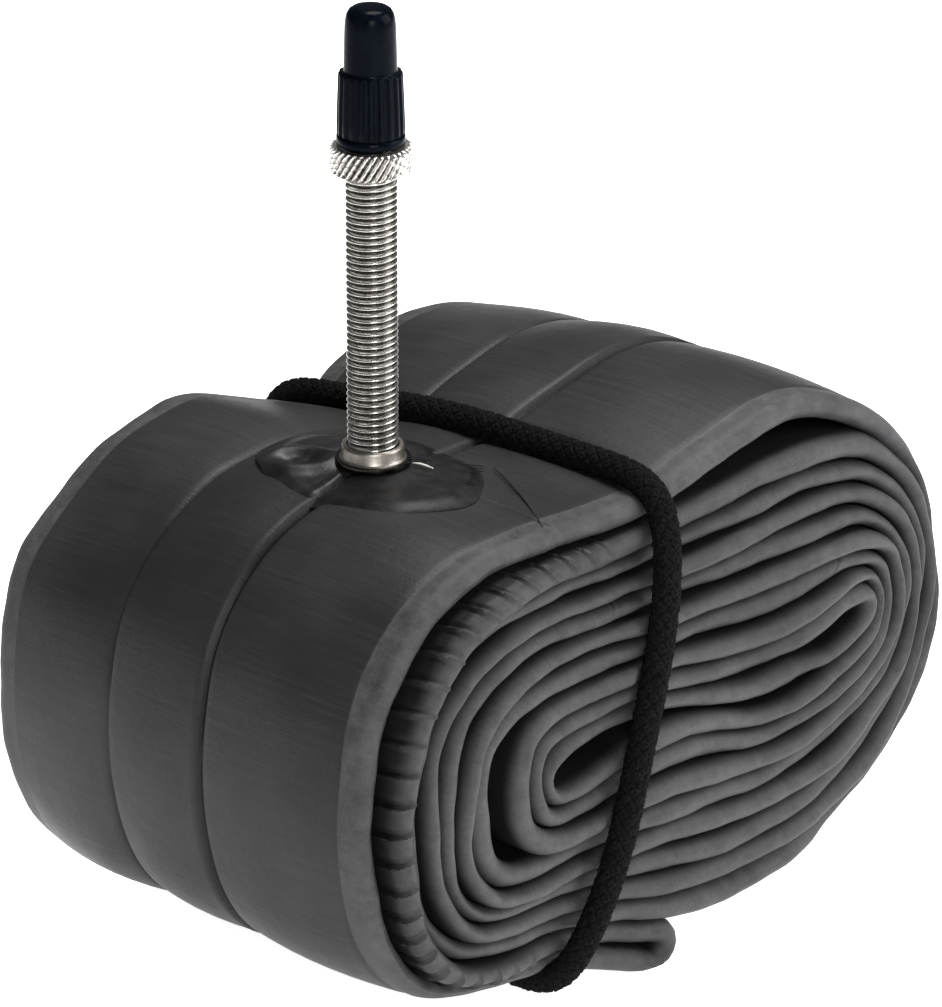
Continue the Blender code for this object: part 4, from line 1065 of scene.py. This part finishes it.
paint_value(lock_nut, "crest", np.vstack([
    0.3 + 0.6 * lock_ridge * np.ones((9, 1)), np.full((4, LOCK_KNURLS * 10), 0.9)]))
lock_nut.data.materials.append(brass)
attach(lock_nut, "lock_nut")
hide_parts("lock_nut")

# ---- The dust cap -------------------------------------------------------------------------------
# A black moulded plastic cap that screws onto the top of the stem. A plain ring runs round its
# foot, fine ribs round its skirt give grip, and its narrower top has a rounded dome.
cap_low, cap_high = height_of("dust_cap")
CAP_RIBS = 20
RIB_STAND = 0.3
SEGMENTS_PER_RIB = 12
CAP_OUTLINE = [      # radius, height over the cap's foot, how far the ribs stand there
    (3.55, 0.0, 0), (3.86, 0.02, 0), (3.96, 0.12, 0), (3.98, 0.5, 0), (3.96, 0.92, 0), (3.86, 1.04, 0),
    (3.66, 1.1, 0), (3.64, 1.16, 0.5), (3.64, 1.3, 1), (3.60, 3.0, 1), (3.54, 5.0, 1), (3.46, 7.0, 1),
    (3.40, 8.2, 1), (3.38, 8.42, 0.95), (3.36, 8.52, 0.6), (3.28, 8.6, 0.15), (3.16, 8.62, 0), (3.10, 8.7, 0),
    (3.08, 9.0, 0), (3.04, 11.0, 0), (3.0, 12.6, 0), (2.95, 13.9, 0), (2.88, 14.7, 0), (2.72, 15.4, 0),
    (2.42, 15.9, 0), (1.95, 16.18, 0), (1.3, 16.28, 0), (0.6, 16.3, 0), (0.02, 16.3, 0),
]


def cap_rows():
    """The cap's outside from its foot to its dome, and the inside from the roof down to the foot."""
    count = CAP_RIBS * SEGMENTS_PER_RIB
    around = np.linspace(0, 2 * math.pi, count, endpoint=False)
    phase = (around * CAP_RIBS / (2 * math.pi)) % 1.0
    rib = 1 - ease(np.abs(phase - 0.5) * 2, 0.28, 0.62)
    radius, height, stand = (np.array([row[k] for row in CAP_OUTLINE])[:, None] for k in range(3))
    r = radius + RIB_STAND * rib * stand
    outside = np.stack([r * np.cos(around), r * np.sin(around), cap_low + height + 0 * r], -1)
    inside = turned_rows([
        (0.02, cap_high - 1.1), (1.2, cap_high - 1.2), (2.3, cap_high - 1.9), (2.42, cap_high - 2.6),
        (2.45, cap_low + 5.5), (3.2, cap_low + 4.9), (3.24, cap_low + 0.5), (3.4, cap_low + 0.05)], count)
    return np.vstack([inside, outside])


cap = grid_piece("dust_cap_moulding", cap_rows(), cap_ends=True)


def cap_finish():
    """Black polyethylene with a cool gloss and a faint moulded ripple."""
    made, tree, shader = new_finish("black_cap_plastic")
    place = millimetres(tree)
    haze = noise_at(tree, place, 0.7, 4.0, 0.6)
    fine = noise_at(tree, place, 6.0, 2.0)
    colour = mix_colours(tree, ramp(tree, haze, (0.3, 0.0), (0.8, 1.0)),
                         (0.001, 0.0016, 0.003, 1.0), (0.002, 0.0035, 0.007, 1.0))
    tree.links.new(colour, shader.inputs["Base Color"])
    tree.links.new(ramp(tree, haze, (0.25, 0.16), (0.8, 0.3)), shader.inputs["Roughness"])
    shader.inputs["Specular IOR Level"].default_value = 0.025
    give_relief(tree, shader, 0.6, (haze, 0.05), (fine, 0.006))
    return made


cap.data.materials.append(cap_finish())
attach(cap, "dust_cap")
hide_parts("dust_cap")

# ---- The elastic band ---------------------------------------------------------------------------
# A black elastic cord: rubber threads inside a braided polyester sleeve. It follows the line that
# dents the tube, and its two ends are joined at the back to hold the roll shut.
BRAID_CARRIERS = 12            # yarns each way round
BRAID_TURNS = round(band_length / 11)
YARN_RADIUS = 0.27


def braid_yarn(carrier, way):
    """One yarn of the sleeve, over two and under two of those that go the other way."""
    share = np.linspace(0, 1, len(band_line), endpoint=False)
    angle = way * 2 * math.pi * BRAID_TURNS * share + 2 * math.pi * carrier / BRAID_CARRIERS
    phase = 2 * BRAID_CARRIERS * BRAID_TURNS * 2 * math.pi * share / 2
    weave = 0.13 * np.sin(phase + math.pi * (carrier + (0 if way > 0 else 1)))
    radius = BAND_DIAMETER / 2 - YARN_RADIUS + 0.05 + weave
    spot = (band_line + outwards * (np.cos(angle) * radius)[:, None]
            + sideways * (np.sin(angle) * radius)[:, None])
    along = unit(np.roll(spot, -1, axis=0) - np.roll(spot, 1, axis=0))
    out = unit(spot - band_line)
    out = unit(out - along * np.sum(out * along, axis=1, keepdims=True))
    flat = np.cross(along, out)
    turns = np.linspace(0, 2 * math.pi, 6, endpoint=False)
    return (spot[:, None] + out[:, None] * np.cos(turns)[None, :, None] * YARN_RADIUS * 0.6
            + flat[:, None] * np.sin(turns)[None, :, None] * YARN_RADIUS * 1.15)


def joined(name, grids):
    """Several closed rings of yarn in one piece."""
    places, faces, start = [], [], 0
    for grid in grids:
        rows, columns = grid.shape[:2]
        faces += (grid_faces(rows, columns, True) + start).tolist()
        places.append(grid.reshape(-1, 3))
        start += rows * columns
    made = new_piece(name, np.vstack(places), faces)
    made.data.shade_smooth()
    return made


sleeve = joined("elastic_cord_sleeve", [
    braid_yarn(carrier, way) for way in (1, -1) for carrier in range(BRAID_CARRIERS)])


def yarn_finish():
    """Textured black polyester yarn: matt, with a dusting of lint."""
    made, tree, shader = new_finish("black_polyester_yarn")
    place = millimetres(tree)
    lint = noise_at(tree, place, 2.4, 4.0, 0.65)
    fibre = noise_at(tree, place, 9.0, 3.0, 0.7)
    colour = mix_colours(tree, ramp(tree, sum_of(tree, (lint, 0.6), (fibre, 0.4)), (0.42, 0.0), (0.72, 1.0)),
                         (0.0015, 0.0015, 0.0016, 1.0), (0.012, 0.012, 0.0125, 1.0))
    tree.links.new(colour, shader.inputs["Base Color"])
    shader.inputs["Roughness"].default_value = 0.92
    shader.inputs["Specular IOR Level"].default_value = 0.06
    give_relief(tree, shader, 1.0, (fibre, 0.10), (lint, 0.06))
    return made


band_finish = yarn_finish()
sleeve.data.materials.append(band_finish)
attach(sleeve, "rolled_tube")
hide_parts("elastic_band")

# The rubber threads fill the sleeve.
core_turns = np.linspace(0, 2 * math.pi, 14, endpoint=False)
threads_grid = (band_line[:, None] + outwards[:, None] * np.cos(core_turns)[None, :, None] * 1.35
                + sideways[:, None] * np.sin(core_turns)[None, :, None] * 1.35)
rubber_threads = grid_piece("elastic_cord_threads", threads_grid, wrap_rows=True)
rubber_threads.data.materials.append(soft_rubber_finish("elastic_thread_rubber", (0.01, 0.01, 0.01, 1.0)))
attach(rubber_threads, "rolled_tube")

FUZZ_HAIRS = 5200
FUZZ_RADIUS = 0.026
dice = random.Random(41)


def fuzz_hair():
    """A loose fibre that curls away from the sleeve: three rows of a thin three-sided rod."""
    k = dice.randrange(len(band_line))
    angle = dice.uniform(0, 2 * math.pi)
    out = outwards[k] * math.cos(angle) + sideways[k] * math.sin(angle)
    root = band_line[k] + out * (BAND_DIAMETER / 2 - 0.25)
    lean = unit(out + ahead[k] * dice.uniform(-1.2, 1.2) + np.cross(out, ahead[k]) * dice.uniform(-1.2, 1.2))
    bend = unit(np.array([dice.uniform(-1, 1) for _ in range(3)]))
    length = dice.uniform(0.3, 0.75)
    rows = []
    for f in (0.0, 0.5, 1.0):
        spot = root + lean * length * f + bend * 0.25 * f * f
        width = FUZZ_RADIUS * (1.15 - f)
        corners = [ahead[k] * math.cos(a) + np.cross(out, ahead[k]) * math.sin(a) for a in (0.0, 2.1, 4.2)]
        rows.append([spot + corner * width for corner in corners])
    return np.array(rows)


hair_places, hair_faces = [], []
for _ in range(FUZZ_HAIRS):
    base = len(hair_places)
    hair_places += fuzz_hair().reshape(-1, 3).tolist()
    for row in range(2):
        for k in range(3):
            a, b = base + row * 3 + k, base + row * 3 + (k + 1) % 3
            hair_faces.append((a, b, b + 3, a + 3))
    hair_faces.append((base + 2, base + 1, base))
    hair_faces.append((base + 6, base + 7, base + 8))
fuzz = new_piece("elastic_cord_fuzz", hair_places, hair_faces)
fuzz.data.materials.append(band_finish)
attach(fuzz, "rolled_tube")

# ---- The band's clip ----------------------------------------------------------------------------
# A short sleeve of plated steel, crimped over the cord's two ends half way up the back.
clip_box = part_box("band_clip")
clip_middle = ((np.array(clip_box[0]) + np.array(clip_box[1])) / 2 - valve_foot) / MM
nearest = int(np.argmin(np.linalg.norm(band_line - clip_middle, axis=1)))
CLIP_HALF = 3.5
clip_places = np.linspace(-CLIP_HALF, CLIP_HALF, 41)
clip_turns = np.linspace(0, 2 * math.pi, 48, endpoint=False)


def clip_shell(outside):
    """The sleeve's outer or inner skin, dented in by two crimps and rolled at its ends."""
    rows = []
    for s in clip_places:
        crimp = 0.38 * (bump(s - 1.5, 0.55) + bump(s + 1.5, 0.55))
        edge = 0.12 * bump(abs(s) - CLIP_HALF, 0.35)
        wall, rolled = (0.45, edge) if outside else (0.0, 0.0)
        r = 2.2 + wall - crimp * np.abs(np.cos(clip_turns)) ** 3 + rolled
        spot = band_line[nearest] + ahead[nearest] * s
        rows.append(spot + outwards[nearest] * (r * np.cos(clip_turns))[:, None]
                    + sideways[nearest] * (r * np.sin(clip_turns))[:, None])
    return np.array(rows)


clip = grid_piece("crimped_clip", np.vstack([clip_shell(True), clip_shell(False)[::-1]]), wrap_rows=True)
clip.data.materials.append(nickel_finish(
    "plated_clip_steel", (0.62, 0.61, 0.60, 1.0), (0.40, 0.39, 0.38, 1.0), NICKEL_GRIME, 0.25, False))
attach(clip, "rolled_tube")
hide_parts("band_clip")
